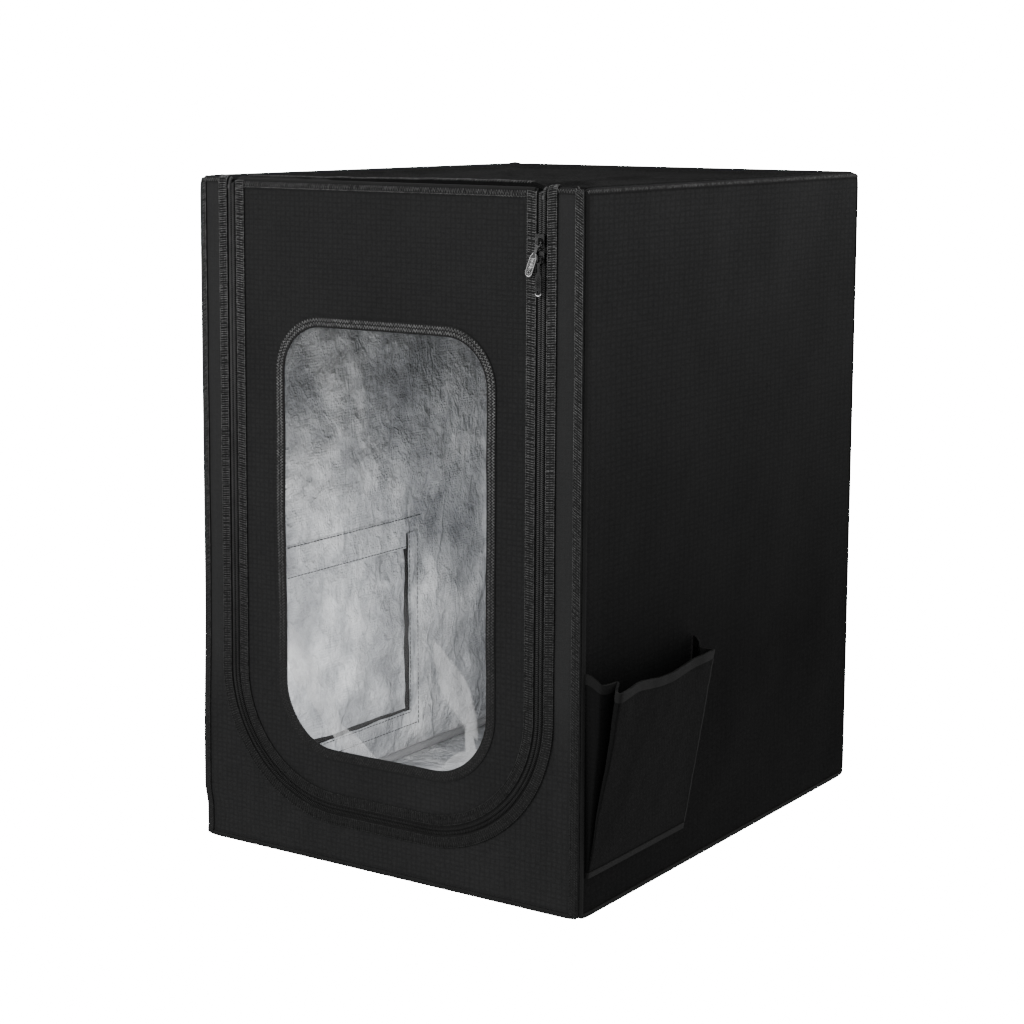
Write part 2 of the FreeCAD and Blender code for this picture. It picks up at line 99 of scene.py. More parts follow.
def crease(u, v, at, angle, length, width):
    """One soft ridge through a point, fading towards its ends."""
    a = math.radians(angle)
    along = (u - at[0]) * math.cos(a) + (v - at[1]) * math.sin(a)
    across = -(u - at[0]) * math.sin(a) + (v - at[1]) * math.cos(a)
    return np.exp(-(along / length) ** 2 - (across / width) ** 2)


def soften(p):
    """Round the box's edges, and its corners a little more."""
    p = np.array(p, float)
    reach = np.stack([HALF_W - np.abs(p[:, 0]), HALF_D - np.abs(p[:, 1]),
                      np.minimum(TOP - p[:, 2], p[:, 2])], 1)
    depth = np.clip(ROUND - reach, 0, None)
    third = np.sort(depth, 1)[:, 0] / ROUND
    power = EDGE_POWER + (CORNER_POWER - EDGE_POWER) * smooth(third)
    peak = depth.max(1)
    norm = ((depth / np.maximum(peak, 1e-9)[:, None]) ** power[:, None]).sum(1) ** (1 / power)
    cut = depth * (1 - 1 / np.maximum(norm, 1))[:, None]
    p[:, 0] -= np.sign(p[:, 0]) * cut[:, 0]
    p[:, 1] -= np.sign(p[:, 1]) * cut[:, 1]
    p[:, 2] -= np.where(p[:, 2] > TOP / 2, 1, -1) * cut[:, 2]
    # the ends of the zip pull the roof's front edge down
    high = smooth(p[:, 2], TOP - 22, TOP - 4)
    near = smooth(-p[:, 1], HALF_D - 30, HALF_D - 4) * high
    for at in ZIP_TOPS:
        p[:, 2] -= 2.6 * near * np.exp(-((p[:, 0] - at) / 7.0) ** 2)
    # the front's lower left corner bulges, and the rear left one stands up a little at the top
    high = smooth(p[:, 2], TOP - 22, TOP - 4)
    spot = np.hypot(p[:, 0] + HALF_W - 4, p[:, 1] - HALF_D + 4)
    corner = smooth(-p[:, 0], HALF_W - 60, HALF_W - 2) * smooth(-p[:, 1], HALF_D - 60, HALF_D - 2)
    belly = smooth(p[:, 2], 34, 60) * smooth(280 - p[:, 2], 0, 190)
    p[:, 0] -= corner * (3.8 * belly + 2.2 * (1 - smooth(p[:, 2], 3, 16)))
    dip = np.exp(-((p[:, 0] + HALF_W - 20) / 6.0) ** 2 - ((p[:, 1] - HALF_D) / 14.0) ** 2)
    p[:, 2] += high * (2.6 * np.exp(-(spot / 8.0) ** 2) - 1.2 * dip)
    return p


# The zip's line and the faces
COIL_REACH, ZIP_R = 3.3, 136.0
coil_box = mm_box("cover_zipper_coil")
ZIP_LEFT, ZIP_LOW = coil_box[0][0] + COIL_REACH, coil_box[0][2] + COIL_REACH
ZIP_RIGHT = coil_box[1][0] - COIL_REACH
ZIP_MID, ZIP_HALF = (ZIP_LEFT + ZIP_RIGHT) / 2, (ZIP_RIGHT - ZIP_LEFT) / 2


def zip_distance(x, z):
    """How far a front point is outside the zip's line; inside is negative."""
    qx = np.abs(x - ZIP_MID) - (ZIP_HALF - ZIP_R)
    qz = ZIP_LOW + ZIP_R - z
    outside = np.hypot(np.maximum(qx, 0), np.maximum(qz, 0))
    return outside + np.minimum(np.maximum(qx, qz), 0) - ZIP_R


def front_relief(x, z):
    d = np.abs(zip_distance(x, z))
    calm = smooth(d, 12, 60) * smooth(TOP - z, 0, 40) * smooth(HALF_W - np.abs(x), 4, 30)
    low = smooth(z, 4, 40)
    swell = 0.9 * ripple(x, z, 190, 3) + 0.35 * ripple(x, z, 70, 4)
    strip = 0.5 * ripple(x * 3, z * 0.4, 60, 5) * smooth(zip_distance(x, z), 10, 24)
    strip *= smooth(HALF_W - np.abs(x), 6, 16) * smooth(TOP - z, 0, 25)
    return calm * low * swell + strip * low


def wall_mask(u, v, half_u, soft=45):
    return (smooth(half_u - np.abs(u), 5, soft) * smooth(v, 8, soft) * smooth(TOP - v, 5, soft))


def front(uv, out):
    """u is x, v is z; past the top edge the cloth turns back over the roof."""
    u, v = uv.T
    out = np.broadcast_to(out, u.shape)
    over = np.maximum(v - TOP, 0)
    p = np.stack([u, -HALF_D - out - front_relief(u, v) + over + np.where(over > 0, out, 0),
                  np.minimum(v, TOP) + np.where(over > 0, out, 0)], 1)
    return soften(p)


def rear(uv, out):
    u, v = uv.T
    relief = wall_mask(u, v, HALF_W) * (1.3 * ripple(u, v, 210, 11) + 0.4 * ripple(u, v, 60, 12) - 1.5)
    return soften(np.stack([u, HALF_D + out + relief, v], 1))


def right_relief(u, v):
    calm = wall_mask(u, v, HALF_D)
    near_pocket = smooth(np.hypot((u + 186) / 130, (v - 140) / 120), 0.8, 1.3)
    return calm * near_pocket * (1.2 * ripple(u, v, 230, 21) + 0.35 * ripple(u, v, 70, 22) - 1.2)


def right(uv, out):
    u, v = uv.T
    return soften(np.stack([HALF_W + out + right_relief(u, v), u, v], 1))


def left_relief(u, v):
    calm = wall_mask(u, v, HALF_D)
    port = smooth(np.hypot(np.maximum(np.abs(u + 52) - 145, 0),
                           np.maximum(np.abs(v - 173) - 133, 0)), 2, 45)
    fold = (3.6 * crease(u, v, (-60, 520), 62, 130, 20) - 3.8 * crease(u, v, (40, 560), 74, 120, 18)
            + 3.0 * crease(u, v, (110, 470), 55, 100, 16) + 3.0 * crease(u, v, (-10, 400), 20, 60, 14)
            - 2.6 * crease(u, v, (60, 400), 110, 60, 14) + 2.4 * crease(u, v, (150, 330), 100, 70, 16))
    gather = np.sin(u * TAU / 21 + 2.5 * ripple(u, v, 90, 33)) - 1.0
    gather *= np.exp(-((v - 316) / 26) ** 2) * smooth(145 - np.abs(u + 52), 0, 30)
    return (calm * port * (2.2 * ripple(u, v, 150, 31) + 0.9 * ripple(u, v, 48, 32) + fold - 3.0)
            + 0.8 * gather)


def left(uv, out):
    u, v = uv.T
    return soften(np.stack([-HALF_W - out - left_relief(u, v), u, v], 1))


def roof_relief(u, v):
    edge = smooth(HALF_W - np.abs(u), 5, 50) * smooth(HALF_D - v, 5, 50) * smooth(HALF_D + v, 9, 26)
    sag = 6.0 + 5.0 * (1 - (u / HALF_W) ** 2) * (1 - (v / HALF_D) ** 2)
    folds = (5.5 * crease(u, v, (-90, -215), 14, 150, 13) + 5.0 * crease(u, v, (-40, -120), 26, 170, 15)
             + 4.0 * crease(u, v, (90, -60), 155, 150, 16) + 4.0 * crease(u, v, (-150, 150), 118, 120, 14)
             + 3.5 * crease(u, v, (40, 120), 70, 110, 15) + 3.0 * crease(u, v, (150, 170), 30, 90, 14))
    waves = 0.9 * ripple(u, v, 150, 41) + 0.4 * ripple(u, v, 50, 42)
    hem = smooth(HALF_W - np.abs(u), 30, 70) * np.exp(-((v + HALF_D - 10) / 7.0) ** 2)
    hem *= 0.6 + 3.2 * smooth(u, -170, 140) + 0.35 * ripple(u, v, 40, 43)
    return edge * np.minimum(folds + waves - sag, -0.5) + hem


def roof(uv, out):
    u, v = uv.T
    return soften(np.stack([u, v, TOP + out + roof_relief(u, v)], 1))


def floor_face(uv, out):
    u, v = uv.T
    return soften(np.stack([u, v, -np.asarray(out) * np.ones(len(u))], 1))


# Mesh builders


def make_mesh(name, verts_mm, faces, materials, index=None, uv=None, sharp=35):
    me = bpy.data.meshes.new(name)
    me.from_pydata((np.asarray(verts_mm) / 1000).tolist(), [], faces)
    for material in materials:
        me.materials.append(material)
    if index is not None:
        me.polygons.foreach_set("material_index", np.asarray(index, np.int32))
    if uv is not None:
        layer = me.uv_layers.new(name="cut")
        loops = np.empty(len(me.loops), np.int32)
        me.loops.foreach_get("vertex_index", loops)
        layer.data.foreach_set("uv", (np.asarray(uv, float)[loops] / 1000).ravel())
    me.polygons.foreach_set("use_smooth", np.ones(len(me.polygons), bool))
    me.update()
    me.set_sharp_from_angle(angle=math.radians(sharp))
    o = bpy.data.objects.new(name, me)
    bpy.context.scene.collection.objects.link(o)
    return o


def finish_piece(o, body, slot, *nodes):
    if body:
        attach(o, body)
    if nodes:
        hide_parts(*nodes)


def finish_bent(o, slot, node, body, above, below):
    """Finish a piece at a seam: hide its CAD node and bake the piece's place into its mesh."""
    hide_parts(node)
    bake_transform(o)


def run_along(path):
    """Distance along a polyline, at each of its points."""
    return np.concatenate([[0], np.cumsum(np.linalg.norm(np.diff(path, axis=0), axis=1))])


def beside(way, side=1.0):
    """The unit vectors square to a path's directions."""
    return np.stack([way[:, 1], -way[:, 0]], 1) * side


def dense(points, step, closed=True):
    """A polyline with a point about every step."""
    points = np.asarray(points, float)
    ends = np.roll(points, -1, 0) if closed else points[1:]
    rows = []
    for a, b in zip(points if closed else points[:-1], ends):
        n = max(1, int(round(np.linalg.norm(b - a) / step)))
        rows.append(a + (b - a) * (np.arange(n) / n)[:, None])
    if not closed:
        rows.append(points[-1:])
    return np.concatenate(rows)


def line(a, b, step=4):
    return dense([a, b], step, False)


def arc(centre, radius, start, end, step=5.0):
    n = max(3, int(abs(math.radians(end - start)) * radius / step))
    a = np.radians(np.linspace(start, end, n + 1))
    return np.stack([centre[0] + radius * np.cos(a), centre[1] + radius * np.sin(a)], 1)


def inside(points, loop):
    x, y = points[:, 0][:, None], points[:, 1][:, None]
    x1, y1 = loop[:, 0], loop[:, 1]
    x2, y2 = np.roll(x1, -1), np.roll(y1, -1)
    cross = (y1 > y) != (y2 > y)
    at = (x2 - x1) * (y - y1) / np.where(y2 == y1, 1e-12, y2 - y1) + x1
    return (cross & (x < at)).sum(1) % 2 == 1


def gap_to(points, loop):
    """Distance from each point to a closed loop."""
    a, b = loop, np.roll(loop, -1, 0)
    best = np.full(len(points), 1e9)
    for i in range(len(a)):
        d = b[i] - a[i]
        t = np.clip(((points - a[i]) @ d) / max(d @ d, 1e-12), 0, 1)
        best = np.minimum(best, np.linalg.norm(points - a[i] - t[:, None] * d, axis=1))
    return best


def cut_out(points, loops):
    """Which points are inside the first loop and outside the others."""
    keep = inside(points, loops[0])
    for loop in loops[1:]:
        keep &= ~inside(points, loop)
    return keep


def cloth(name, outline, holes, step, place, materials, thickness=CLOTH, flip=False, lift=0.0):
    """A sheet cut to an outline with holes, laid on a face, with an outer and an inner skin."""
    loops = [dense(outline, step)] + [dense(h, step * 0.7) for h in holes]
    low, high = loops[0].min(0), loops[0].max(0)
    gx = np.arange(low[0] + step, high[0], step)
    gy = np.arange(low[1] + step, high[1], step)
    grid = np.stack(np.meshgrid(gx, gy), -1).reshape(-1, 2)
    grid = grid[cut_out(grid, loops)]
    edges, start = [], 0
    for loop in loops:
        grid = grid[gap_to(grid, loop) > step * 0.45]
        n = len(loop)
        edges += [(start + i, start + (i + 1) % n) for i in range(n)]
        start += n
    points = np.concatenate(loops + [grid])
    got = delaunay_2d_cdt([Vector(p) for p in points], edges, [], 0, 1e-6)
    flat, tris = np.array([tuple(p) for p in got[0]]), np.array(got[2])
    tris = tris[cut_out(flat[tris].mean(1), loops)]
    count = len(flat)
    skin = place(flat, lift), place(flat, lift - thickness)
    used = {e: True for a, b, c in tris.tolist() for e in ((a, b), (b, c), (c, a))}
    rim = [(a, b) for a, b in used if (b, a) not in used]
    outer = tris[:, ::-1] if flip else tris
    inner = outer[:, ::-1] + count
    rims = [(b, a, a + count, b + count) if not flip else (a, b, b + count, a + count)
            for a, b in rim]
    faces = outer.tolist() + inner.tolist() + rims
    index = [0] * len(outer) + [1] * len(inner) + [0] * len(rims)
    o = make_mesh(name, np.concatenate(skin), faces, materials, index,
                  np.concatenate([flat, flat]))
    area = 0.5 * np.abs(np.cross(flat[tris[:, 1]] - flat[tris[:, 0]],
                                 flat[tris[:, 2]] - flat[tris[:, 0]])).sum() / 1e6
    span = (loops[0].max(0) - loops[0].min(0)) / 1000
    return o, span, float(area)


def tangents(path, closed):
    ahead = np.roll(path, -1, 0) - np.roll(path, 1, 0)
    if not closed:
        ahead[0], ahead[-1] = path[1] - path[0], path[-1] - path[-2]
    return ahead / np.linalg.norm(ahead, axis=1)[:, None]


def ribbon(name, path, profile, place, material, closed=False, side=1.0):
    """A strip along a flat path. The profile gives (distance to the side, height) pairs."""
    path, profile = np.asarray(path, float), np.asarray(profile, float)
    normal = beside(tangents(path, closed), side)
    n, m = len(path), len(profile)
    flat = (path[:, None] + normal[:, None] * profile[None, :, :1]).reshape(-1, 2)
    verts = place(flat, np.tile(profile[:, 1], n))
    rows = range(n if closed else n - 1)
    faces = [(i * m + j, i * m + (j + 1) % m, (i + 1) % n * m + (j + 1) % m, (i + 1) % n * m + j)
             for i in rows for j in range(m)]
    if not closed:
        faces += [tuple(range(m - 1, -1, -1)), tuple((n - 1) * m + j for j in range(m))]
    uv = np.stack([np.repeat(run_along(path), m), np.tile(run_along(profile), n)], 1)
    return turn_out(make_mesh(name, verts, faces, [material], uv=uv, sharp=50))


def strip(name, path, profile, place, material, body, slot, nodes=(), closed=False, side=1.0):
    """A ribbon that is a finished piece."""
    finish_piece(ribbon(name, path, profile, place, material, closed, side), body, slot, *nodes)


def turn_out(o):
    """Point a closed mesh's faces outwards."""
    me = o.data
    tri = np.array([t.vertices for t in (me.calc_loop_triangles() or me.loop_triangles)])
    co = np.array([v.co for v in me.vertices])
    a, b, c = co[tri[:, 0]], co[tri[:, 1]], co[tri[:, 2]]
    if (a * np.cross(b, c)).sum() < 0:
        me.flip_normals()
    return o


def band_profile(inner, outer, base, proud, crown=0.25, n=6):
    """A flat strip's section with rounded shoulders and a slightly crowned top."""
    mid, half = (inner + outer) / 2, (outer - inner) / 2
    a = np.linspace(0, math.pi, n + 1)
    top = [(mid - half * math.copysign(abs(math.cos(x)) ** 0.35, math.cos(x)),
            base + (proud - base) * (math.sin(x) ** crown if math.sin(x) > 1e-9 else 0)) for x in a]
    return [(inner, base - 0.3)] + top + [(outer, base - 0.3)]


def samples(path, pitch, closed=False, start=0.0, side=1.0):
    """Evenly spaced points, directions and sideways directions along a path."""
    path = np.asarray(path, float)
    if closed:
        path = np.concatenate([path, path[:1]])
    run = run_along(path)
    s = np.arange(start, run[-1] - (1e-6 if closed else 0), pitch)

    def at(distance):
        return np.stack([np.interp(distance, run, path[:, k]) for k in (0, 1)], 1)

    way = at(s + 0.05) - at(s - 0.05)
    way /= np.maximum(np.linalg.norm(way, axis=1), 1e-9)[:, None]
    return at(s), way, beside(way, side)


def threads(name, starts, ends, height, radius, place, material, bow=0.35, rings=4, sides=5):
    """Many short lengths of thread, each from one flat point to another, as one mesh."""
    starts = np.asarray(starts, float)
    k, block = len(starts), rings * sides
    way = np.asarray(ends, float) - starts
    side = beside(way / np.maximum(np.linalg.norm(way, axis=1), 1e-9)[:, None])
    t = np.linspace(0, 1, rings)
    size = radius * np.array([0.55] + [1.0] * (rings - 2) + [0.55])[:, None]
    angle = np.arange(sides)[None] * TAU / sides
    across = size * np.cos(angle)
    upward = size * np.sin(angle) + bow * np.sin(np.pi * t)[:, None]
    flat = (starts[:, None, None] + way[:, None, None] * t[None, :, None, None]
            + side[:, None, None] * across[None, :, :, None])
    verts = place(flat.reshape(-1, 2), np.broadcast_to(height + upward, flat.shape[:3]).ravel())
    one = [(i * sides + j, i * sides + (j + 1) % sides, (i + 1) * sides + (j + 1) % sides,
            (i + 1) * sides + j) for i in range(rings - 1) for j in range(sides)]
    first = np.arange(k)[:, None] * block
    quads = (np.array(one)[None] + first[:, :, None]).reshape(-1, 4)
    cap = np.arange(sides)[None]
    caps = np.concatenate([cap[:, ::-1] + first, cap + first + (rings - 1) * sides])
    return turn_out(make_mesh(name, verts, quads.tolist() + caps.tolist(), [material], sharp=80))


# Materials


class Paint:
    """A material's node tree, with short calls for what the materials here need."""

    def __init__(self, name):
        self.mat = bpy.data.materials.new(name)
        self.mat.use_nodes = True
        self.tree = self.mat.node_tree
        self.bsdf = self.tree.nodes["Principled BSDF"]

    def feed(self, node, inputs):
        """Link or set a node's inputs."""
        for key, value in inputs.items():
            if isinstance(value, bpy.types.NodeSocket):
                self.tree.links.new(value, node.inputs[key])
            else:
                node.inputs[key].default_value = value

    def node(self, kind, inputs=None, **props):
        n = self.tree.nodes.new("ShaderNode" + kind)
        for key, value in props.items():
            setattr(n, key, value)
        self.feed(n, inputs or {})
        return n

    def math(self, op, a, b=0.0, c=0.0):
        return self.node("Math", {0: a, 1: b, 2: c}, operation=op).outputs[0]

    def mul(self, a, b):
        return self.math("MULTIPLY", a, b)

    def total(self, *terms):
        """The sum of (value, weight) pairs."""
        result = 0.0
        for value, weight in terms:
            result = self.math("MULTIPLY_ADD", value, weight, result)
        return result

    def cut(self):
        return self.node("UVMap", uv_map="cut").outputs["UV"]

    def place(self):
        return self.node("TexCoord").outputs["Object"]

    def parts(self, vector):
        return self.node("SeparateXYZ", {"Vector": vector}).outputs

    def noise(self, vector, scale, detail=3.0, rough=0.5, stretch=None):
        if stretch:
            vector = self.node("Mapping", {"Vector": vector, "Scale": stretch}).outputs[0]
        return self.node("TexNoise", {"Vector": vector, "Scale": scale, "Detail": detail,
                                      "Roughness": rough}).outputs["Fac"]

    def ramp(self, fac, *stops):
        n = self.node("ValToRGB", {"Fac": fac})
        while len(n.color_ramp.elements) < len(stops):
            n.color_ramp.elements.new(0.5)
        for e, (at, colour) in zip(n.color_ramp.elements, stops):
            e.position = at
            e.color = colour if len(colour) == 4 else (*colour, 1)
        return n.outputs["Color"]

    def span(self, value, a, b, low=0.0, high=1.0):
        return self.node("MapRange", {"Value": value, "From Min": a, "From Max": b,
                                      "To Min": low, "To Max": high}).outputs["Result"]

    def fade(self, colour, z0, z1, low, high):
        """Scale a colour by how high above the floor it is: painted light and shade by height."""
        z = self.parts(self.place())[2]
        return self.node("VectorMath", {0: colour, "Scale": self.span(z, z0, z1, low, high)},
                         operation="SCALE").outputs[0]

    def bump(self, *layers):
        """A normal from (height, strength, distance) layers, the broadest first."""
        inputs = {}
        for height, strength, distance in layers:
            inputs.update({"Height": height, "Strength": strength, "Distance": distance})
            inputs["Normal"] = self.node("Bump", inputs).outputs["Normal"]
        return inputs["Normal"]

    def weave(self, vector, pitch):
        """Height of a plain weave: warp over weft over warp."""
        u, v = (self.math("SINE", self.mul(self.parts(vector)[k], math.pi / pitch)) for k in (0, 1))
        both = self.mul(u, v)
        warp = self.mul(self.math("ABSOLUTE", u), self.math("MAXIMUM", both, 0.0))
        weft = self.mul(self.math("ABSOLUTE", v), self.math("MAXIMUM", self.mul(both, -1.0), 0.0))
        return self.math("ADD", warp, weft)

    def use(self, **sockets):
        self.feed(self.bsdf, {key.replace("_", " "): value for key, value in sockets.items()})
        return self.mat


def grey(v, tint=0.0):
    return (v * (1 - tint * 0.5), v, v * (1 + tint), 1)


NO_FADE = (0.0, 0.1, 1.0, 1.0)


def woven(name, base, cell=(0.0061, 0.0052), spread=0.55, fold=0.4, plain=None, fade=NO_FADE,
          gloss=1.0):
    """Coated polyester: a fine plain weave, a ripstop check, and rubbed patches.
    plain gives (half width, low, high): beyond that x and above those heights the cloth is
    smoother and lighter, as the facing beside the zip is."""
    p = Paint(name)
    vector, body = p.cut(), p.place()
    weave = p.weave(vector, 0.0009)
    uneven = p.noise(vector, 120, 2, 0.5)
    lines = []
    for axis, size in enumerate(cell):
        turn = p.total((p.parts(vector)[axis], TAU / size), (uneven, 4.2))
        lines.append(p.span(p.math("SINE", turn), -0.2, 1.0))
    grid = p.math("MAXIMUM", *lines)
    blotch = p.noise(vector, 240, 3, 0.6)
    wide = p.noise(body, 9, 3, 0.55)
    slub = p.total((p.noise(vector, 700, 2, 0.6, (1.0, 0.12, 1.0)), 0.5),
                   (p.noise(vector, 560, 2, 0.6, (0.12, 1.0, 1.0)), 0.5))
    tone = p.total((blotch, 0.38), (wide, 0.25), (slub, 0.45), (grid, -0.10))
    if plain:
        x, _, z = p.parts(body)
        far = p.span(p.math("ABSOLUTE", x), plain[0], plain[0] + 0.001)
        mask = p.mul(far, p.span(z, plain[1], plain[2]))
        even = p.total((slub, 0.32), (1.0, 0.53))
        tone = p.node("Mix", {0: mask, 2: tone, 3: even}).outputs[0]
    colour = p.ramp(tone, (0.18, grey(base * (1 - spread), 0.02)), (0.42, grey(base, 0.015)),
                    (0.80, grey(base * (1 + 1.7 * spread), 0.01)))
    normal = p.bump((p.noise(body, 30, 4, 0.6), 0.3 * fold, 0.004), (grid, 0.25, 0.0005),
                    (p.total((weave, 1.0), (slub, 0.4)), 0.5, 0.00035))
    return p.use(Base_Color=p.fade(colour, *fade), Roughness=p.span(blotch, 0.3, 0.7, 0.64, 0.82),
                 Normal=normal, Sheen_Weight=0.03 * gloss, Sheen_Roughness=0.45,
                 Specular_IOR_Level=0.12 * gloss)


def tape(name, base, pitch=0.0011, rough=0.7, fade=NO_FADE):
    """Woven binding tape with its ribs across the strip."""
    p = Paint(name)
    vector = p.cut()
    rib = p.total((p.math("SINE", p.mul(p.parts(vector)[0], TAU / pitch)), 0.5), (1.0, 0.5))
    fuzz = p.noise(vector, 700, 3, 0.6)
    wide = p.noise(p.place(), 30, 3, 0.6)
    tone = p.total((rib, 0.3), (fuzz, 0.4), (wide, 0.4))
    colour = p.ramp(tone, (0.25, grey(base * 0.6)), (0.6, grey(base)), (0.9, grey(base * 1.6)))
    normal = p.bump((wide, 0.3, 0.002), (p.total((rib, 1.0), (fuzz, 0.7)), 0.5, 0.0003))
    return p.use(Base_Color=p.fade(colour, *fade), Normal=normal, Sheen_Weight=0.05,
                 Roughness=p.span(fuzz, 0.3, 0.7, rough - 0.1, rough + 0.1), Sheen_Roughness=0.4,
                 Specular_IOR_Level=0.15)


def yarn(name, base, fade=NO_FADE):
    """Twisted sewing thread."""
    p = Paint(name)
    body = p.place()
    twist = p.noise(body, 2600, 2, 0.6)
    tone = p.total((twist, 0.35), (p.noise(body, 330, 2, 0.5), 0.65))
    colour = p.fade(p.ramp(tone, (0.36, grey(base * 0.3)), (0.64, grey(base * 1.8))), *fade)
    return p.use(Base_Color=colour, Roughness=p.span(twist, 0.3, 0.7, 0.5, 0.75),
                 Normal=p.bump((twist, 0.6, 0.0002)), Specular_IOR_Level=0.3)


def foil(name):
    """Aluminised lining over a ripstop cloth: bright and crumpled, blotchy in tone, with painted
    highlights along its ripstop rows, painted shade in its creases and painted shade towards the top.
    """
    p = Paint(name)
    vector, body = p.cut(), p.place()
    u, v, _ = p.parts(vector)
    bend = p.noise(vector, 45, 3, 0.6)
    rows = p.math("SINE", p.total((v, TAU / 0.0031), (bend, 9.0)))
    cols = p.math("SINE", p.mul(u, TAU / 0.0045))
    shown = p.span(p.noise(vector, 22, 3, 0.6), 0.47, 0.62)
    grid = p.mul(p.total((rows, 0.75), (cols, 0.12)), shown)
    wide = p.noise(body, 7.0, 4, 0.55)
    patch = p.noise(body, 26, 5, 0.62)
    fine = p.noise(vector, 330, 4, 0.65, (0.45, 1.0, 1.0))
    folds = p.node("TexVoronoi", {"Vector": body, "Scale": 24.0, "Randomness": 1.0},
                   feature="SMOOTH_F1").outputs["Distance"]
    creases = []
    for scale, stretch in ((11, (1.0, 1.0, 0.55)), (30, (1.0, 1.0, 0.7))):
        off = p.math("SUBTRACT", p.noise(body, scale, 4, 0.55, stretch), 0.5)
        creases.append(p.span(p.math("ABSOLUTE", off), 0.0, 0.035, 1.0, 0.0))
    crease_lines = p.math("MAXIMUM", creases[0], p.mul(creases[1], 0.6))
    # in the tone, the broken ripstop rows are painted highlights and the creases painted shade
    tone = p.total((wide, 0.56), (patch, 0.28), (fine, 0.10), (grid, 0.020), (crease_lines, -0.028))
    colour = p.ramp(tone, (0.33, (0.13, 0.135, 0.147)), (0.47, (0.40, 0.41, 0.425)),
                    (0.60, (0.82, 0.825, 0.83)))
    normal = p.bump((p.total((folds, 1.0), (patch, 1.3)), 0.75, 0.012), (crease_lines, 0.5, 0.003),
                    (grid, 0.25, 0.0005), (fine, 0.30, 0.0009))
    # the foil is painted darker towards the top: painted shade
    return p.use(Base_Color=p.fade(colour, 0.31, 0.58, 1.0, 0.36), Metallic=0.4, Normal=normal,
                 Specular_IOR_Level=0.6, Roughness=p.span(fine, 0.3, 0.7, 0.32, 0.52))


def metal(name, base, rough, wear=0.5):
    """Plated die-cast zinc: darker in the pits, brighter where fingers rub."""
    p = Paint(name)
    pits = p.noise(p.place(), 900, 4, 0.6)
    wide = p.noise(p.place(), 160, 3, 0.6)
    colour = p.ramp(wide, (0.3, grey(base * (1 - wear))), (0.7, grey(base * (1 + 0.3 * wear))))
    return p.use(Base_Color=colour, Metallic=1.0, Normal=p.bump((pits, 0.35, 0.0002)),
                 Roughness=p.span(pits, 0.3, 0.7, rough - 0.08, rough + 0.14))


def plastic(name, base, rough, tint=0.0, fade=NO_FADE, shine=0.5):
    """Moulded plastic or a painted tube, with a fine grain."""
    p = Paint(name)
    grain = p.noise(p.place(), 1500, 3, 0.6)
    wide = p.noise(p.place(), 45, 3, 0.6)
    colour = p.ramp(wide, (0.3, grey(base * 0.8, tint)), (0.7, grey(base * 1.15, tint)))
    return p.use(Base_Color=p.fade(colour, *fade), Normal=p.bump((grain, 0.25, 0.0002)),
                 Roughness=p.span(grain, 0.3, 0.7, rough - 0.07, rough + 0.1),
                 Specular_IOR_Level=shine)


def clear_film(name, glints):
    """Soft PVC sheet: nearly clear, with leaf-shaped painted reflections: pale, less clear patches. A
    glint is ((x, z) of its middle, its direction, half its length, half its width)."""
    p = Paint(name)
    body = p.place()
    at_x, _, at_z = p.parts(body)
    wobble = p.noise(body, 30, 3, 0.6)
    painted_glint = 0.0
    # each glint is a painted reflection, its strength varied by streak
    for (x, z), (ux, uz), half_long, half_wide in glints:
        dx, dz = p.math("SUBTRACT", at_x, x / 1000), p.math("SUBTRACT", at_z, z / 1000)
        along = p.total((dx, ux * 1000 / half_long), (dz, uz * 1000 / half_long))
        across = p.total((dx, uz * 1000 / half_wide), (dz, -ux * 1000 / half_wide))
        leaf = p.total((p.mul(along, along), 1.0), (p.math("ABSOLUTE", across), 1.0),
                       (wobble, 0.7), (1.0, -0.35))
        painted_glint = p.math("MAXIMUM", painted_glint, p.span(leaf, 0.80, 1.0, 1.0, 0.0))
    cloud = p.span(p.noise(body, 11, 3, 0.5), 0.4, 0.75, 0.01, 0.05)
    streak = p.span(p.noise(body, 60, 3, 0.6, (1.0, 1.0, 0.35)), 0.35, 0.65, 0.13, 0.27)
    p.mat.surface_render_method = "BLENDED"
    return p.use(Base_Color=grey(0.82, 0.01), Alpha=p.math("MULTIPLY_ADD", painted_glint, streak, cloud),
                 Normal=p.bump((p.noise(body, 12, 2, 0.5), 0.4, 0.01)), Roughness=0.12,
                 Specular_IOR_Level=0.7)


# Heights and factors that darken thread near the floor: painted shade.
FLOOR_SHADE = (0.12, 0.60, 0.20, 1.06)
CLOTH_FRONT = woven("cover_cloth_front", 0.0200, plain=(0.2085, 0.15, 0.22))
CLOTH_DOOR = woven("cover_cloth_door", 0.0192)
# The walls, floor and port flap take a darker copy of the cover's black cloth, with painted light and
# shade by height: half as light near the floor, up to 2.6 times as light at the top.
CLOTH_SIDE_HEIGHT_SHADED = woven("cover_cloth_side_height_shaded", 0.0125, (0.0099, 0.0058), fade=(0.20, 0.69, 0.50, 2.6),
                   gloss=0.55)
# The roof takes the same black cloth with a far darker colour: painted shade.
CLOTH_TOP_SHADED = woven("cover_cloth_top_shaded", 0.0034, gloss=0.4)
POCKET_CLOTH = woven("pocket_cloth", 0.0080, fold=0.15, spread=0.35, gloss=0.65)
TAPE_BLACK = tape("binding_tape_black", 0.021)
TAPE_POCKET = tape("pocket_tape_black", 0.016)
# The seam down the pocket's rear edge is much lighter than the pocket's cloth: a painted highlight along
# that edge.
PIPING_HIGHLIGHT = tape("pocket_piping_highlight", 0.055)
